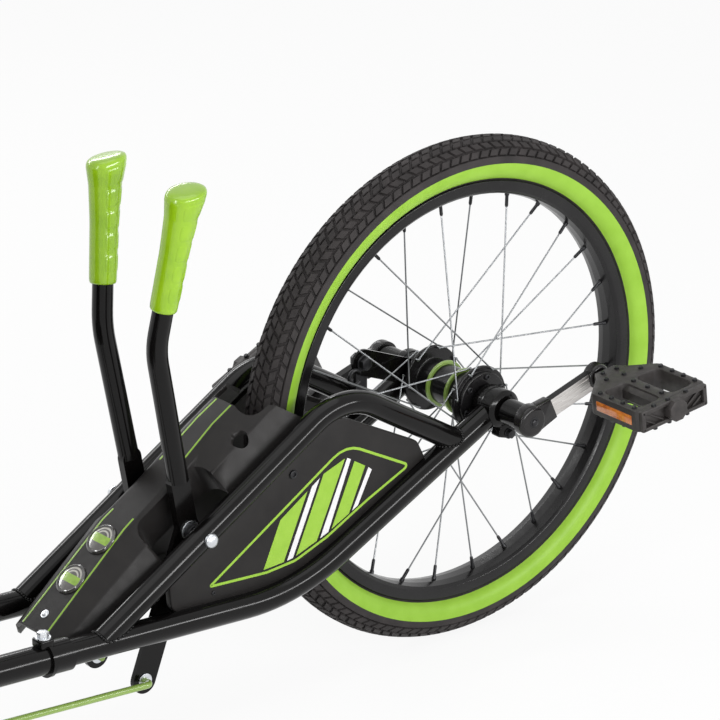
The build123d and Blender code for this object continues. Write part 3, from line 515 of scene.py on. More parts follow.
BLOCKS_ROUND = 124
BLOCK_ROWS = (            # lean, stagger, skew
    (0, 0.0, 0.7), (-19, 0.5, 0.7), (19, 0.5, -0.7), (-38, 0.0, -0.7), (38, 0.0, 0.7), (-58, 0.5, 0.7),
    (58, 0.5, -0.7))
BLOCK_SIZE = (10.2, 6.8, 3.2)     # round the tyre, across it, deep
BLOCK_TAPER = (1, 0.86, 0.84)
tread = bmesh.new()
for lean, stagger, skew in BLOCK_ROWS:
    turn = Matrix.Rotation(2 * pi * stagger / BLOCKS_ROUND, 4, "Z")
    tilt = at((CROWN_MID * MM, 0, 0)) @ Matrix.Rotation(-radians(lean), 4, "Y")
    high = (CROWN_R - BLOCK_SIZE[2] / 2) * MM
    corners = block(tread, (BLOCK_SIZE[2], BLOCK_SIZE[0], BLOCK_SIZE[1]), at((high, 0, 0)))
    outer = [v for v in corners if v.co.x > high]
    bmesh.ops.scale(tread, vec=BLOCK_TAPER, verts=outer)
    for corner in corners:
        corner.co.y += skew * corner.co.z
    bmesh.ops.transform(tread, matrix=WHEEL @ turn @ tilt, verts=corners)
bmesh.ops.spin(tread, geom=tread.verts[:] + tread.edges[:] + tread.faces[:], cent=AXLE, axis=LEFT,
               angle=2 * pi * (BLOCKS_ROUND - 1) / BLOCKS_ROUND, steps=BLOCKS_ROUND - 1, use_duplicate=True)
piece("front_tread_blocks", tread, "front_wheel", "front_tyre_rubber", tread_rubber)

# Rim hoop, spoke nipples and elbows, valve
rim = bmesh.new()
rim_half = [(197.4, 5.0, 2.0), (199.2, 13.4, 1.5), (202.2, 16.0, 2.0), (212.5, 16.0, 1.2), (212.5, 13.1, 1.2),
            (206.4, 13.1, 0.5)]
rim_corners = rim_half + [(r, -y, radius) for r, y, radius in reversed(rim_half)]
turned(rim, rounded(rim_corners), WHEEL, 120)
piece("front_rim_hoop", rim, "front_wheel", "rim_paint", rim_black, replaces=["front_rim"])

SPOKES_A_SIDE = 14
LACE = radians(72)
FLANGE_Y = 36.0
FLANGE_EYES = 31.5        # spoke holes from the axle
SPOKE_END = 187.0
SPOKE_LAY = 5.2
nipples = bmesh.new()
elbows = bmesh.new()
for side in (-1, 1):
    for count in range(SPOKES_A_SIDE):
        lead = 1 if count % 2 else -1
        rim_turn = (count + side / 4) * 2 * pi / SPOKES_A_SIDE
        hub_turn = rim_turn - lead * LACE
        hub_end = by_axle(FLANGE_EYES * cos(hub_turn), side * FLANGE_Y + lead * SPOKE_LAY,
                          FLANGE_EYES * sin(hub_turn))
        rim_end = by_axle(SPOKE_END * cos(rim_turn), side * 3, SPOKE_END * sin(rim_turn))
        inwards = (hub_end - rim_end).normalized()
        turned(nipples, [(0, -2), (2.4, -2), (2.3, 3), (1.7, 4), (1.7, 13), (1.3, 14.5), (0, 14.5)],
               stand(rim_end - inwards * 11.6 * MM, inwards), 10)
        turned(elbows, [(0, -1.2), (1.1, -1.0), (1.5, 0), (1.1, 0.8), (0.95, 3.4), (0, 3.4)],
               stand(hub_end, Vector((0, -lead, 0))), 10)
# The nipples are bright plated metal; the dark black-oxide finish on them is painted shade, standing in for the
# dark reflections they show
piece("spoke_nipples", nipples, "front_wheel", "spoke_steel", black_oxide)
piece("spoke_elbows", elbows, "front_wheel", "spoke_steel", spoke_wire)

VALVE_TURN = radians(205)
valve = bmesh.new()
valve_out = Vector((cos(VALVE_TURN), 0, sin(VALVE_TURN)))
turned(valve, [(0, -2), (5.5, -2), (5.5, 1), (4.2, 3), (3.6, 20), (4.2, 21), (4.2, 33), (3.4, 34.5), (0, 34.5)],
       stand(AXLE + valve_out * 187.5 * MM, -valve_out), 20)
piece("valve_stem", valve, "front_wheel", "front_tyre_rubber", tread_rubber)

# Hub: flanges, stepped ends with screws, a dark barrel between two lime rings
hub = bmesh.new()
hub_corners = ((10.1, -43, 0), (28, -43, 1.4), (28, -38, 0.4), (33, -38, 1.3), (33, -34, 1.3), (20, -34, 2),
               (20, 34, 2), (33, 34, 1.3), (33, 38, 1.3), (28, 38, 0.4), (28, 40, 0.8), (10.1, 40, 0))
turned(hub, rounded(hub_corners), WHEEL, 64)
piece("front_hub_shell", hub, "front_wheel", "rim_paint", rim_black, replaces=["front_hub"])
hub_rings = bmesh.new()
for across in (-12.0, 15.0):
    ring = ((19.6, across - 1.7, 0), (23.4, across - 1.7, 0.9), (23.4, across + 1.7, 0.9), (19.6, across + 1.7, 0))
    turned(hub_rings, rounded(ring), WHEEL, 64)
piece("hub_lime_rings", hub_rings, "front_wheel", "rim_paint", lime_enamel)
HUB_SCREW_RING = 23.4
hub_screws = bmesh.new()
for ahead, above in arc((0, 0), HUB_SCREW_RING, 20, 320, 5):
    socket_screw(hub_screws, by_axle(ahead, -42.8, above), RIGHT, 3.0, 2.4)
piece("hub_end_screws", hub_screws, "front_wheel", "rim_paint", black_oxide)


# Axle housings on the frame's fork ends, each with a clamp lug below
def axle_housing(bm):
    inner = stand(by_axle(0, -47.6, 0), RIGHT)
    corners = ((10.6, 0, 0), (17.5, 0, 0.8), (17.5, 3.5, 0), (19, 3.5, 0.8), (19, 11.5, 0), (18.2, 12.0, 0),
               (18.2, 16.5, 0), (19, 17.0, 0), (19, 26.0, 1.6), (14.5, 28.8, 0.8), (10.6, 28.8, 0))
    turned(bm, rounded(corners), inner)
    lug = at(by_axle(4, -69, -23)) @ Matrix.Rotation(radians(18), 4, "Y")
    block(bm, (20, 13, 15), lug, 2.2, 3)


def lug_bolt(bm):
    washer_bolt(bm, by_axle(5.5, -75.3, -25.5), RIGHT, 5.6, 1.0, 8.0, 4.0)


pair("axle_housing", axle_housing, "frame", "frame_paint", black_coat, replaces=["bearing_cups"])
pair("axle_lug_bolt", lug_bolt, "frame", "fastener_zinc", black_oxide)

# Brake arm: pivot bolt at the strap and a spring clip beside it
arm_bolt = bmesh.new()
washer(arm_bolt, by_axle(-78, 44.4, 32), RIGHT, 8.5, 1.4)
hex_head(arm_bolt, by_axle(-78, 43.2, 32), RIGHT, 12.0, 5.5)
hex_head(arm_bolt, by_axle(-78, 51.5, 32), LEFT, 12.0, 6.5)
piece("brake_arm_bolt", arm_bolt, "frame", "fastener_zinc", black_oxide)
clip = bmesh.new()
clip_place = at(by_axle(-90, 42.6, 20)) @ Matrix.Rotation(radians(40), 4, "Y")
wire = bmesh.ops.create_circle(clip, cap_ends=False, segments=10, radius=1.7 * MM,
                               matrix=clip_place @ moved(7.5, 0, 0))
bmesh.ops.spin(clip, geom=wire["verts"] + edges_of(wire["verts"]),
               cent=clip_place.translation, axis=LEFT, angle=radians(285), steps=24)
bmesh.ops.holes_fill(clip, edges=clip.edges)
piece("brake_arm_clip", clip, "frame", "fastener_zinc", black_oxide)

# Cranks: black arm with a bright ridged face, glossy covers, a small bolt
CRANK_RISE = radians(17)
CRANK_REACH = 88.0
CRANK_HALF = 9.5
RIDGE_LANES = (-4.6, 0.0, 4.6)
RIDGE_HIGH = 7.5
CRANK = at(by_axle(0, -108, 0)) @ Matrix.Rotation(-CRANK_RISE, 4, "Y") @ Matrix.Rotation(pi / 2, 4, "X")
crank_way = Vector((cos(CRANK_RISE), 0, sin(CRANK_RISE)))


def on_crank(reach, across):
    """A point along the right crank, in millimetres."""
    return by_axle(0, across, 0) + crank_way * reach * MM


def crank_arm(bm):
    outline = arc((4.5, 0), CRANK_HALF, 90, 270, 10) + arc((CRANK_REACH - 4.5, 0), CRANK_HALF, -90, 90, 10)
    points = [bm.verts.new(CRANK @ Vector((x * MM, y * MM, 0))) for x, y in outline]
    extruded(bm, [bm.faces.new(points)], RIGHT * 8 * MM)
    faces = [f for f in bm.faces if f.normal.dot(RIGHT) > 0.9]
    bmesh.ops.inset_region(bm, faces=faces, thickness=1.6 * MM, depth=-0.5 * MM, use_even_offset=True)
    for face in faces:
        face.material_index = 1
    for lane in RIDGE_LANES:
        block(bm, (60, 1.3, 0.9), CRANK @ moved(46, lane, RIDGE_HIGH), 0.3, 1)
    for face in bm.faces:
        if abs((CRANK.inverted() @ face.calc_center_median()).z - RIDGE_HIGH * MM) < 0.5 * MM:
            face.material_index = 1


def crank_covers(bm):
    for reach, radius, edge in ((0.0, 16.0, 4.5), (CRANK_REACH, 12.5, 4.0)):
        outline = rounded(((0, 0, 0), (radius, 0, 1.0), (radius, 12.9, edge), (0, 12.9, 0)), 6)
        turned(bm, outline, stand(on_crank(reach, -105.6), RIGHT), 40)
    hood = rounded(((2, -14, 2), (29, -11.2, 1.5), (26, 11.2, 1.5), (2, 14, 2)))
    plate(bm, [hood], CRANK @ moved(0, 0, -2.2), 11.6, 1.6)


def crank_bolts(bm):
    turned(bm, [(0, -0.6), (5.6, -0.6), (5.6, 0.3), (4.6, 0.5), (0, 0.5)], stand(on_crank(0, -118.4), RIGHT), 32)
    domed_head(bm, on_crank(0, -118.8), RIGHT, 3.6, 2.2)


pair("crank_arm", crank_arm, "crank", "crank_steel", black_coat, bright_bar, replaces=["crank_bar_{}"],
     flip=HALF_TURN)
pair("crank_cover", crank_covers, "crank", "pedal_plastic", crank_nylon, replaces=["crank_caps_{}"], flip=HALF_TURN)
pair("crank_bolt", crank_bolts, "crank", "crank_steel", black_oxide, flip=HALF_TURN)

# Pedals: moulded cage with two openings, trussed outer end, pins and amber reflectors
RIGHT_SPINDLE = by_axle(84.155, -124.5, 25.729)
LEFT_SPINDLE = HALF_TURN @ RIGHT_SPINDLE
PEDAL_ROLL = radians(-6.5)
LEFT_MORE = radians(-20)  # the left pedal hangs with its rear edge lower
PEDAL = at(RIGHT_SPINDLE) @ Matrix.Rotation(PEDAL_ROLL, 4, "Y")
LEFT_PEDAL = at(LEFT_SPINDLE) @ Matrix.Rotation(LEFT_MORE, 4, "Y") @ at(-LEFT_SPINDLE) @ HALF_TURN
PEDAL_TALL = 22.0
PEDAL_HALF = (            # half width, along, round
    (13, 0, 3), (20, -10, 4), (44, -30, 7), (44, -92, 3), (42, -95.5, 1.5))
PEDAL_WINDOW = ((-14.4, -26), (14.4, -26), (14.4, 26), (-14.4, 26))
PIN_ROWS = (              # beside, along
    (39, (38, 54, 70, 86)), (-39, (38, 54, 70, 86)), (0, (42, 62, 82)), (-8, (7,)), (8, (9,)), (-15, (20,)),
    (4, (24,)), (24, (26,)), (17, (97,)), (-6, (97,)), (-24, (97,)))
DIAGONALS = ((13, -7, 34, 7), (24, -7.5, 35.5, 0))     # beside and up, from and to


def pedal_cage(bm):
    base = PEDAL @ moved(0, 0, -PEDAL_TALL / 2)
    loops = [rounded(PEDAL_HALF + tuple((-x, y, r) for x, y, r in reversed(PEDAL_HALF)))]
    for side in (-1, 1):
        loops.append(rounded([(side * 20.8 + x, y - 62.5, 7) for x, y in PEDAL_WINDOW]))
    plate(bm, loops, base, PEDAL_TALL, 1.6)


def pedal_end(bm):
    nose = PEDAL @ Matrix.Rotation(pi / 2, 4, "X") @ Matrix.Rotation(pi / 8, 4, "Z")
    turned(bm, rounded(((0, 2, 0), (11.5, 2, 1.0), (11.5, 106, 1.2), (0, 106, 0))), nose, 8)
    for tall, high in ((4.6, 8.6), (4.0, -8.9)):
        block(bm, (82, 6, tall), PEDAL @ moved(0, -97, high), 1.0)
    for side in (-1, 1):
        block(bm, (5, 6.4, 21.5), PEDAL @ moved(side * 39.3, -96.8, 0), 1.4)
        for x, z, far_x, far_z in DIAGONALS:
            run = Vector(((far_x - x) * side, 0, far_z - z))
            lie = moved(side * (x + far_x) / 2, -96.2, (z + far_z) / 2)
            turn = Matrix.Rotation(-atan2(run.z, run.x), 4, "Y")
            block(bm, (run.length, 3.6, 1.8), PEDAL @ lie @ turn, 0.4, 1)


def pedal_pins(bm):
    for up in (-1, 1):
        for beside, rows in PIN_ROWS:
            for along in rows:
                foot = PEDAL @ (Vector((beside, -along, up * (PEDAL_TALL / 2 - 0.6))) * MM)
                turned(bm, [(0, 0), (2.5, 0), (2.4, 2.4), (1.9, 3.0), (0, 3.0)],
                       stand(foot, PEDAL.to_3x3() @ Vector((0, 0, up))), 10)


def pedal_reflectors(bm):
    for side in (-1, 1):
        block(bm, (3.0, 50, 10), PEDAL @ moved(side * 43.1, -62, 0), 0.7)


pair("pedal_cage", pedal_cage, "pedal_{}", "pedal_plastic", pedal_nylon, replaces=["pedal_{}"], flip=LEFT_PEDAL)
pair("pedal_end", pedal_end, "pedal_{}", "pedal_plastic", pedal_nylon, flip=LEFT_PEDAL)
pair("pedal_pins", pedal_pins, "pedal_{}", "pedal_plastic", black_oxide, flip=LEFT_PEDAL)
pair("pedal_reflectors", pedal_reflectors, "pedal_{}", "reflector_amber", amber, replaces=["reflectors_{}"],
     flip=LEFT_PEDAL)

# Grips: lime sleeves, flared to a slanted end, with two columns of raised pads in front
lever_top = by_axle(-373.5, -58.6, 285.3)
lever_bend = by_axle(-392.5, -41, 146.5)
grip_way = (lever_top - lever_bend).normalized()
GRIP_LONG = 116.0
GRIP_PAST = 14.0          # grip beyond the lever's top
grip_side = (LEFT - grip_way * grip_way.y).normalized()
GRIP = Matrix((grip_side.cross(grip_way), grip_side, grip_way)).transposed().to_4x4()
GRIP.translation = lever_top + grip_way * (GRIP_PAST - GRIP_LONG) * MM
GRIP_SHAPE = (            # along, half width, half depth, forward shift
    (0.0, 12.0, 12.0, 0.0), (1.5, 13.0, 13.0, 0.0), (7.0, 13.2, 13.2, 0.0), (58.0, 13.3, 13.9, 0.3),
    (93.0, 14.6, 16.6, 0.8), (104.0, 15.8, 18.8, 1.2), (112.0, 17.0, 20.6, 1.6), (116.4, 16.8, 20.4, 1.6),
    (118.6, 15.0, 18.4, 1.4), (119.6, 9.0, 11.4, 1.0))
PAD_ROWS = tuple((12.0 + 20.4 * i, 28.6 + 20.4 * i) for i in range(5))
GRIP_STATIONS = sorted({row[0] for row in GRIP_SHAPE} | {place for row in PAD_ROWS for place in row})
GRIP_SIDES = 28
PAD_TURNS = ((8.0, 58.0), (70.0, 122.0))          # degrees from the front
PAD_HIGH = 0.5
GRIP_LEAN = radians(13)


def grip_sleeve(bm):
    rings = []
    for along in GRIP_STATIONS:
        half, deep, shift = reading(GRIP_SHAPE, along)
        lean = Matrix.Rotation(-GRIP_LEAN * min(along / GRIP_LONG, 1) ** 4, 4, "Y")
        start = Matrix.Rotation(pi / GRIP_SIDES, 4, "Z")
        lie = GRIP @ moved(shift, 0, along) @ lean @ Matrix.Diagonal((deep, half, 1, 1)) @ start
        ends = along in (GRIP_STATIONS[0], GRIP_STATIONS[-1])
        made = bmesh.ops.create_circle(bm, cap_ends=ends, segments=GRIP_SIDES, radius=MM, matrix=lie)
        rings.append(edges_of(made["verts"]))
    skin(bm, rings)
    bmesh.ops.recalc_face_normals(bm, faces=bm.faces)
    pads = []
    for face in bm.faces:
        middle = GRIP.inverted() @ face.calc_center_median()
        turn = abs(degrees(atan2(middle.y, middle.x)))
        along = middle.z / MM
        lifted = along - middle.x / MM * tan(GRIP_LEAN * min(along / GRIP_LONG, 1) ** 4)
        beside = any(low < turn < high for low, high in PAD_TURNS)
        if beside and any(low < lifted < high for low, high in PAD_ROWS):
            pads.append(face)
    for wide, high in ((0.6, 0.0), (0.5, PAD_HIGH)):
        bmesh.ops.inset_region(bm, faces=pads, thickness=wide * MM, depth=high * MM, use_even_offset=True)


for sleeve in pair("grip_sleeve", grip_sleeve, "lever_{}", "grip_pvc", lime_pvc, replaces=["grip_{}"], sharp=80.0):
    smoothed(sleeve, 1)

# Shroud: its moulding with the wings cut short, pinstripes along the spine, two dials, a screw
LOOP_RUN = Vector((0.8547, 0, 0.5190))
LOOP_RISE = Vector((-0.5190, 0, 0.8547))
LOOP_FOOT = (-474.0, -112.0)
SPINE = (                 # along, half width, height
    (-30.0, 22.0, 16.0), (92.0, 20.0, 36.0), (143.0, 18.0, 37.5), (224.0, 15.0, 45.0), (290.0, 14.0, 44.0),
    (332.0, 14.0, 28.0))


def on_loop(along, rise, across):
    """A point along and above the loop tube's rear run, in millimetres."""
    return by_axle(LOOP_FOOT[0], across, LOOP_FOOT[1]) + (LOOP_RUN * along + LOOP_RISE * rise) * MM


WING_FROM = 20.0          # across, where the shroud's wings start
WING_END = 281.0          # along the loop, where the shroud's wings stop beside the tyre
shroud = bmesh.new()
shroud.from_mesh(frame["nodes"]["centre_shroud"].data)
bmesh.ops.remove_doubles(shroud, verts=shroud.verts, dist=MERGE_GAP)
for side in (-1, 1):
    wing = [f for f in shroud.faces if f.calc_center_median().y * side > WING_FROM * MM]
    geom = wing + list(dict.fromkeys(part for f in wing for part in (*f.edges, *f.verts)))
    cut = bmesh.ops.bisect_plane(shroud, geom=geom, plane_co=on_loop(WING_END, 0, side * 40),
                                 plane_no=LOOP_RUN - LEFT * side, clear_outer=True)
    bmesh.ops.holes_fill(shroud, edges=[g for g in cut["geom_cut"] if isinstance(g, bmesh.types.BMEdge)])
moulding = piece("shroud_moulding", shroud, "frame", "cover_plastic", black_abs, replaces=["centre_shroud"],
                 sharp=32.0)
modify(moulding, "flat_flanks", "WEIGHTED_NORMAL", keep_sharp=True)

FILM = 0.12               # printed film over its plastic
PINSTRIPES = ((-28.0, 30.0, 60.0, 92.0, 106.0), (170.0, 200.0, 224.0, 250.0))
PINSTRIPE_LANES = (       # in from the spine's edge, drop of its round
    (4.9, 0.0), (3.4, 0.0), (2.4, 0.18), (1.5, 0.64))
pinstripes = bmesh.new()
for side in (-1, 1):
    for stretch in PINSTRIPES:
        lanes = []
        for along in stretch:
            half, high = reading(SPINE, along)
            lanes.append([pinstripes.verts.new(on_loop(along, high - drop + FILM, side * (half - inset)))
                          for inset, drop in PINSTRIPE_LANES])
        skin(pinstripes, [[pinstripes.edges.new(ends) for ends in zip(lane, lane[1:])] for lane in lanes])
raise_film(pinstripes, 0.25)
piece("spine_pinstripes", pinstripes, "frame", "cover_plastic", lime_vinyl)

DIAL_ALONG = (28.0, 74.0)
SPINE_SLOPE = 0.1639      # the spine's rise under the dials
dial_way = (LOOP_RISE - LOOP_RUN * SPINE_SLOPE).normalized()
dial_run = LEFT.cross(dial_way)
DIAL_BANDS = (-4.3, 4.3)  # ends of the lime band, along the spine
DIAL_RINGS = (5.4, 7.5, 9.2, 10.9, 12.3)
DIAL_R = 13.2
bezels = bmesh.new()
dials = bmesh.new()
for along in DIAL_ALONG:
    lie = Matrix((dial_run, LEFT, dial_way)).transposed().to_4x4()
    lie.translation = on_loop(along, reading(SPINE, along)[1] + 0.05, 0)
    ring = ((13.0, 0, 0), (16.4, 0, 0.4), (15.9, 1.4, 0.5), (14.5, 2.4, 0.5), (13.0, 1.9, 0))
    turned(bezels, rounded(ring), lie)
    dome = [(r, 2.1 - 0.7 * (r / DIAL_R) ** 2) for r in (0, *DIAL_RINGS, DIAL_R)]
    turned(dials, dome + [(DIAL_R, 0.3)], lie)
    for band in DIAL_BANDS:
        bmesh.ops.bisect_plane(dials, geom=dials.verts[:] + dials.edges[:] + dials.faces[:],
                               plane_co=lie @ Vector((band * MM, 0, 0)), plane_no=dial_run)
    for face in dials.faces:
        middle = (lie.inverted() @ face.calc_center_median()) / MM
        if middle.xy.length > DIAL_R + 1:      # a face of the other dial
            continue
        # Pale rings on the front side of the face are a painted reflection of a clear lens, not print
        painted_reflection_ring = DIAL_RINGS[1] < middle.xy.length < DIAL_RINGS[2] or middle.xy.length > DIAL_RINGS[3]
        if middle.x < DIAL_BANDS[0]:
            face.material_index = 1
        elif middle.x > DIAL_BANDS[1]:
            face.material_index = 2 if painted_reflection_ring else 1
piece("dial_bezels", bezels, "frame", "dial_lens", dial_ring, replaces=["dials"])
piece("dial_faces", dials, "frame", "dial_lens", dial_lime, dial_dark, dial_painted_reflection)
spine_screw = bmesh.new()
domed_head(spine_screw, on_loop(-12, reading(SPINE, -12)[1] - 0.2, 0), dial_way, 3.0, 2.0)
washer(spine_screw, on_loop(-12, reading(SPINE, -12)[1], 0), dial_way, 4.4, 0.6)
piece("spine_screw", spine_screw, "frame", "fastener_zinc", zinc)

# Side panels: a plate hollow behind, with a lime outline and slanted bars of a plain pattern
SIDE_FRAME = -62.0        # plane of the right side frame, across
PANEL_OUTLINE = ((-354.0, -94.5, 2), (-186.0, 8.8, 34), (-106.0, -33.2, 4), (-160.2, -57.1, 20),
                 (-209.0, -81.8, 20), (-247.6, -95.9, 30), (-282.1, -98.8, 30))
PANEL_EDGE = ((-396.6, -78.8, 12), (-199.3, 41.0, 34), (-98.0, -11.6, 10), (-88.5, -30.5, 3), (-191.4, -84.9, 40),
              (-255.0, -111.4, 40), (-313.0, -115.0, 20), (-393.4, -110.0, 12))
PANEL_DEEP = 9.0
STRIPE_WIDE = 2.6
LIME_BARS = (((-286, -94), (-262, -92.5), (-232.9, -27.8), (-265.6, -48.7)),
             ((-247, -90), (-222, -81.5), (-187.6, -6.5), (-213.4, -15.4)),
             ((-204, -74), (-183, -64), (-163, -20), (-176, -12)))
WHITE_BARS = (((-258, -92), (-251, -91), (-218.4, -18.5), (-227.6, -24.4)),
              ((-218, -80), (-208, -76), (-180.5, -9), (-184.7, -6.5)),
              ((-179, -62), (-172, -58.5), (-155, -26), (-159, -22.5)))


def panel_plate(bm):
    upright = at(by_axle(0, SIDE_FRAME + PANEL_DEEP, 0)) @ Matrix.Rotation(pi / 2, 4, "X")
    plate(bm, [rounded(PANEL_EDGE, 6)], upright, PANEL_DEEP, 2.0)
    backs = [f for f in bm.faces if f.normal.y > 0.9]
    bmesh.ops.inset_region(bm, faces=backs, thickness=2.0 * MM, depth=-6.0 * MM, use_even_offset=True)


def flat_shape(bm, outline):
    return bm.faces.new([bm.verts.new(by_axle(x, SIDE_FRAME - FILM, z)) for x, z in outline])


def panel_stripe(bm):
    field = flat_shape(bm, rounded(PANEL_OUTLINE))
    field.normal_update()
    bmesh.ops.inset_individual(bm, faces=[field], thickness=STRIPE_WIDE * MM, use_even_offset=True)
    bmesh.ops.delete(bm, geom=[field], context="FACES_ONLY")
    raise_film(bm, 0.2)


def panel_bars(bm, bars):
    for outline in bars:
        flat_shape(bm, outline)
    raise_film(bm, 0.2)


pair("panel_plate", panel_plate, "frame", "cover_plastic", black_abs, replaces=["side_panel_{}"])
pair("panel_stripe", panel_stripe, "frame", "cover_plastic", lime_vinyl)
pair("panel_lime_bars", lambda bm: panel_bars(bm, LIME_BARS), "frame", "cover_plastic", lime_vinyl)
pair("panel_white_bars", lambda bm: panel_bars(bm, WHITE_BARS), "frame", "cover_plastic", white_vinyl)

# Fasteners of the levers, panels, collars and rods
PIVOT = (-357.0, -41.0)
ROD_EYE = (-410.0, -180.0)
COLLAR = (-541.0, SIDE_FRAME, -112.9)


def pivot_bolt(bm):
    head = by_axle(PIVOT[0], -73.55, PIVOT[1])
    turned(bm, [(0, -46.0), (4.0, -46.0), (4.0, 0), (7.0, 0), (7.0, 2.0)] +
           [(7.0 * cos(t), 2.0 + 3.9 * sin(t)) for t in (0.35, 0.7, 1.05, 1.35)] + [(0, 5.9)],
           stand(head, RIGHT), 32)
    hex_head(bm, by_axle(PIVOT[0], -32.4, PIVOT[1]), LEFT, 13.0, 6.0)


def pivot_spacer(bm):
    washer(bm, by_axle(PIVOT[0], -41.7, PIVOT[1]), RIGHT, 9.6, 1.6, 4.1)
    for face in bm.faces:
        face.material_index = 1
    turned(bm, rounded(((4.05, 0, 0), (7.6, 0, 0.6), (7.6, 7.0, 0.6), (4.05, 7.0, 0))),
           stand(by_axle(PIVOT[0], -43.4, PIVOT[1]), RIGHT), 32)


def collar_lug(bm):
    block(bm, (15, 16, 9), at(by_axle(*COLLAR) + UP * 17.2 * MM), 2.0, 3)


def collar_bolt(bm):
    washer_bolt(bm, by_axle(*COLLAR) + UP * 21.6 * MM, UP, 7.6, 1.4, 10.0, 5.0)


def panel_screw(bm):
    socket_screw(bm, by_axle(-250.4, -61.9, -6.2), RIGHT, 4.4, 2.4)
    socket_screw(bm, by_axle(-345.5, -61.9, -101.0), RIGHT, 2.2, 1.2)


def rod_washers(bm):
    for across, way in ((-39.6, RIGHT), (-34.4, LEFT)):
        washer(bm, by_axle(ROD_EYE[0], across, ROD_EYE[1]), way, 7.5, 1.3, 3.4)


def rod_keeper(bm):
    washer(bm, by_kingpin(0, -70, 4.6), UP, 9.0, 1.4, 3.4)
    washer(bm, by_kingpin(0, -70, 8.2), UP, 5.2, 2.0, 3.3)


pair("lever_pivot_bolt", pivot_bolt, "frame", "fastener_zinc", zinc, replaces=["lever_pivots"])
pair("lever_pivot_spacer", pivot_spacer, "frame", "fastener_zinc", black_oxide, zinc)
pair("collar_lug", collar_lug, "frame", "frame_paint", black_coat)
pair("collar_bolt", collar_bolt, "frame", "fastener_zinc", zinc)
pair("panel_screw", panel_screw, "frame", "fastener_zinc", black_oxide)
pair("rod_washers", rod_washers, "lever_{}", "fastener_zinc", zinc)
pair("rod_keeper", rod_keeper, "rod_{}", "fastener_zinc", zinc)


# Weld beads where the loop tubes run into the main tubes
MAIN_TUBE_R = 12.7
LOOP_TUBE_R = 11.5
BEADS = 30
BEAD_R = 1.9


def weld(bm, root, way, line, line_way):
    """A ring of beads round a loop tube where it runs into a main tube in the same upright plane."""
    way, line_way = way.normalized(), line_way.normalized()
    rise = Vector((-way.z, 0, way.x))
    line_rise = Vector((-line_way.z, 0, line_way.x))
    side = 1 if (root - line).dot(line_rise) > 0 else -1
    for count in range(BEADS):
        turn = 2 * pi * count / BEADS
        start = root + (rise * cos(turn) + LEFT * sin(turn)) * LOOP_TUBE_R * MM
        reach = side * sqrt(MAIN_TUBE_R ** 2 - (LOOP_TUBE_R * sin(turn)) ** 2) * MM
        spot = start + way * ((reach - (start - line).dot(line_rise)) / way.dot(line_rise))
        bmesh.ops.create_icosphere(bm, subdivisions=1, radius=BEAD_R * MM, matrix=at(spot))


def loop_welds(bm):
    crest = by_axle(-188.8, SIDE_FRAME, 61.2)
    corner = by_axle(-250.7, SIDE_FRAME, -127)
    for foot, tube_end in ((LOOP_FOOT, (-950, -93)), ((-46, -26), (0, 0))):
        way = by_axle(foot[0], SIDE_FRAME, foot[1]) - crest
        weld(bm, crest, way, corner, by_axle(tube_end[0], SIDE_FRAME, tube_end[1]) - corner)


pair("loop_welds", loop_welds, "frame", "frame_paint", black_coat, sharp=80.0)


# Rear frame: plugs in the tube ends, a nut on the kingpin
def tube_plug(bm):
    run = Vector((-699.3, 0, 34.0)).normalized()
    turned(bm, [(0, -1), (13.8, -1), (13.8, 1.6), (12.4, 3.4), (6.0, 4.6), (0, 4.9)],
           stand(by_axle(-1010.0, SIDE_FRAME, -90.08), run), 32)


pair("tube_plug", tube_plug, "frame", "cover_plastic", pedal_nylon)
king_nut = bmesh.new()
hex_head(king_nut, by_kingpin(0, 0, 54.5), UP, 26.6, 9.6)
washer(king_nut, by_kingpin(0, 0, 54.35), UP, 18.5, 1.6)
domed_head(king_nut, by_kingpin(0, 0, 63.9), UP, 8.0, 3.4)
piece("kingpin_nut", king_nut, "rear_axle", "fastener_zinc", zinc)

# Slick wheels: turned tyre with two wear grooves, capped lime disc
SLICK_HALF = (            # from the axle, across, round
    (88.1, 44.4, 0.8), (103.0, 44.8, 1.0), (105.0, 43.2, 0.8), (126.98, 43.0, 11.0), (126.98, 19.5, 0.6),
    (125.6, 18.5, 0.4), (125.6, 16.5, 0.4), (126.98, 15.5, 0.6))
SLICK_CAP = ((22.05, 0, 0), (26.5, 0, 0.8), (26.5, 3.4, 1.2), (24.4, 9.0, 1.2), (22.05, 9.0, 0))
SCREW_RING = 54.0
SLICK_MID = -265.0        # middle of the right slick, across


def slick_tyre(bm):
    corners = SLICK_HALF + tuple((r, -y, radius) for r, y, radius in reversed(SLICK_HALF))
    turned(bm, rounded(corners), stand(by_kingpin(0, SLICK_MID, 0), LEFT), 96)


def slick_cap(bm):
    turned(bm, rounded(SLICK_CAP), stand(by_kingpin(0, -296, 0), RIGHT))


def slick_screws(bm):
    for ahead, above in arc((0, 0), SCREW_RING, 30, 330, 5):
        washer_bolt(bm, by_kingpin(ahead, -284.8, above), RIGHT, 6.0, 1.0, 8.0, 4.0)


def axle_washers(bm):
    washer(bm, by_kingpin(0, -215.4, 0), RIGHT, 17.0, 2.0, 8.1)


pair("slick_casing", slick_tyre, "slick_{}", "slick_plastic", slick_black, replaces=["slick_tyre_{}"])
pair("slick_cap_ring", slick_cap, "slick_{}", "slick_plastic", slick_black)
pair("slick_screws", slick_screws, "slick_{}", "fastener_zinc", zinc)
pair("axle_washer", axle_washers, "rear_axle", "fastener_zinc", zinc)

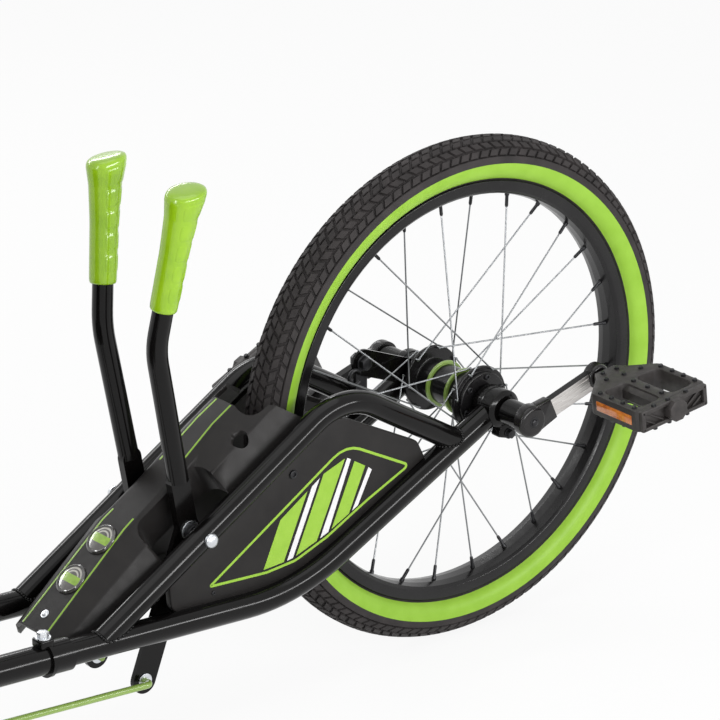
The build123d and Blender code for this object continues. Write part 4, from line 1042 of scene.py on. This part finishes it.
# Bucket seat: a thin moulded shell with a rolled lip, a ribbed flat in the pan, bolts to saddles and stays
PAN_RISE = 29.0           # seat pan above the rear tubes
SEAT_ROWS = (             # ahead of the kingpin, above the rear tubes, lean, half bottom, half rim, wing
    (285.0, 36.0, -26.0, 60.0, 78.0, 16.0), (258.0, PAN_RISE, 0.0, 98.0, 122.0, 34.0),
    (190.0, PAN_RISE, 0.0, 110.0, 150.0, 78.0), (78.0, PAN_RISE, 0.0, 116.0, 166.0, 98.0),
    (22.0, 71.0, 46.0, 124.0, 172.0, 96.0), (-10.0, 183.0, 74.0, 132.0, 178.0, 72.0),
    (-47.0, 333.0, 76.0, 118.0, 150.0, 48.0), (-62.0, 394.0, 78.0, 104.0, 128.0, 36.0),
    (-68.5, 419.0, 80.0, 76.0, 84.0, 8.0))
TUBE_RISE = 34.0          # rear tubes above the rear axle
LIP_WING = 34.0           # a wing this high has the full rolled lip
SEAT_CROWN = 22.0         # the top edge's middle over its ends
SEAT_SHARES = ((0.0, 0.0), (0.55, 0.0), (0.93, 0.0), (1.0, 0.09))     # of the half bottom, of the wing


def on_seat(row, across, up):
    ahead, above, lean = row[:3]
    return by_kingpin(ahead + up * sin(radians(lean)), across, above + TUBE_RISE + up * cos(radians(lean)))


def seat_half(row):
    """Places of a seat section from the middle to the rolled lip."""
    bottom, rim, wing = row[3:]
    half = [(bottom * wide, wing * high) for wide, high in SEAT_SHARES]
    half += [(bottom + (rim - bottom) * share, wing * share) for share in (0.3, 0.62, 0.9)]
    roll = min(wing / LIP_WING, 1)
    return half + [(rim, wing), (rim + 4.5 * roll, wing + roll), (rim + 7.0 * roll, wing - 4.0 * roll)]


seat_shell = bmesh.new()
sections = []
for row in SEAT_ROWS:
    half = seat_half(row)
    outline = [(-across, up) for across, up in reversed(half[1:])] + half
    points = [seat_shell.verts.new(on_seat(row, across, up)) for across, up in outline]
    if row == SEAT_ROWS[-1]:
        for point, (across, up) in zip(points, outline):
            point.co.z -= SEAT_CROWN * MM * (across / row[4]) ** 2
    sections.append([seat_shell.edges.new(ends) for ends in zip(points, points[1:])])
skin(seat_shell, sections)
shell = piece("seat_shell", seat_shell, "frame", "seat_plastic", seat_black, replaces=["seat"], sharp=180.0)
smoothed(shell, 2)
modify(shell, "wall", "SOLIDIFY", thickness=5 * MM, offset=0.0)
modify(shell, "softened_edge", "BEVEL", width=1.6 * MM, segments=2, limit_method="ANGLE", angle_limit=radians(60))

pan = bmesh.new()
PAN_MID = by_kingpin(134, 0, TUBE_RISE + PAN_RISE)
RIB_PITCH = 9.4
block(pan, (92, 150, 5), at(PAN_MID) @ moved(0, 0, 2.8), 1.4)
for count in range(-4, 5):
    block(pan, (4.4, 126, 1.6), at(PAN_MID) @ moved(count * RIB_PITCH, 0, 5.6), 0.6)
piece("seat_pan_flat", pan, "frame", "seat_plastic", seat_black)
seat_bolts = bmesh.new()
for side in (-1, 1):
    for ahead in (200.0, 72.0):
        domed_head(seat_bolts, by_kingpin(ahead, side * 56, TUBE_RISE + PAN_RISE + 2.2), UP, 9.0, 3.6)
    back = SEAT_ROWS[5]
    domed_head(seat_bolts, on_seat(back, side * 78, 2.2), on_seat(back, 0, 1) - on_seat(back, 0, 0), 9.0, 3.6)
piece("seat_bolts", seat_bolts, "frame", "fastener_zinc", black_oxide)
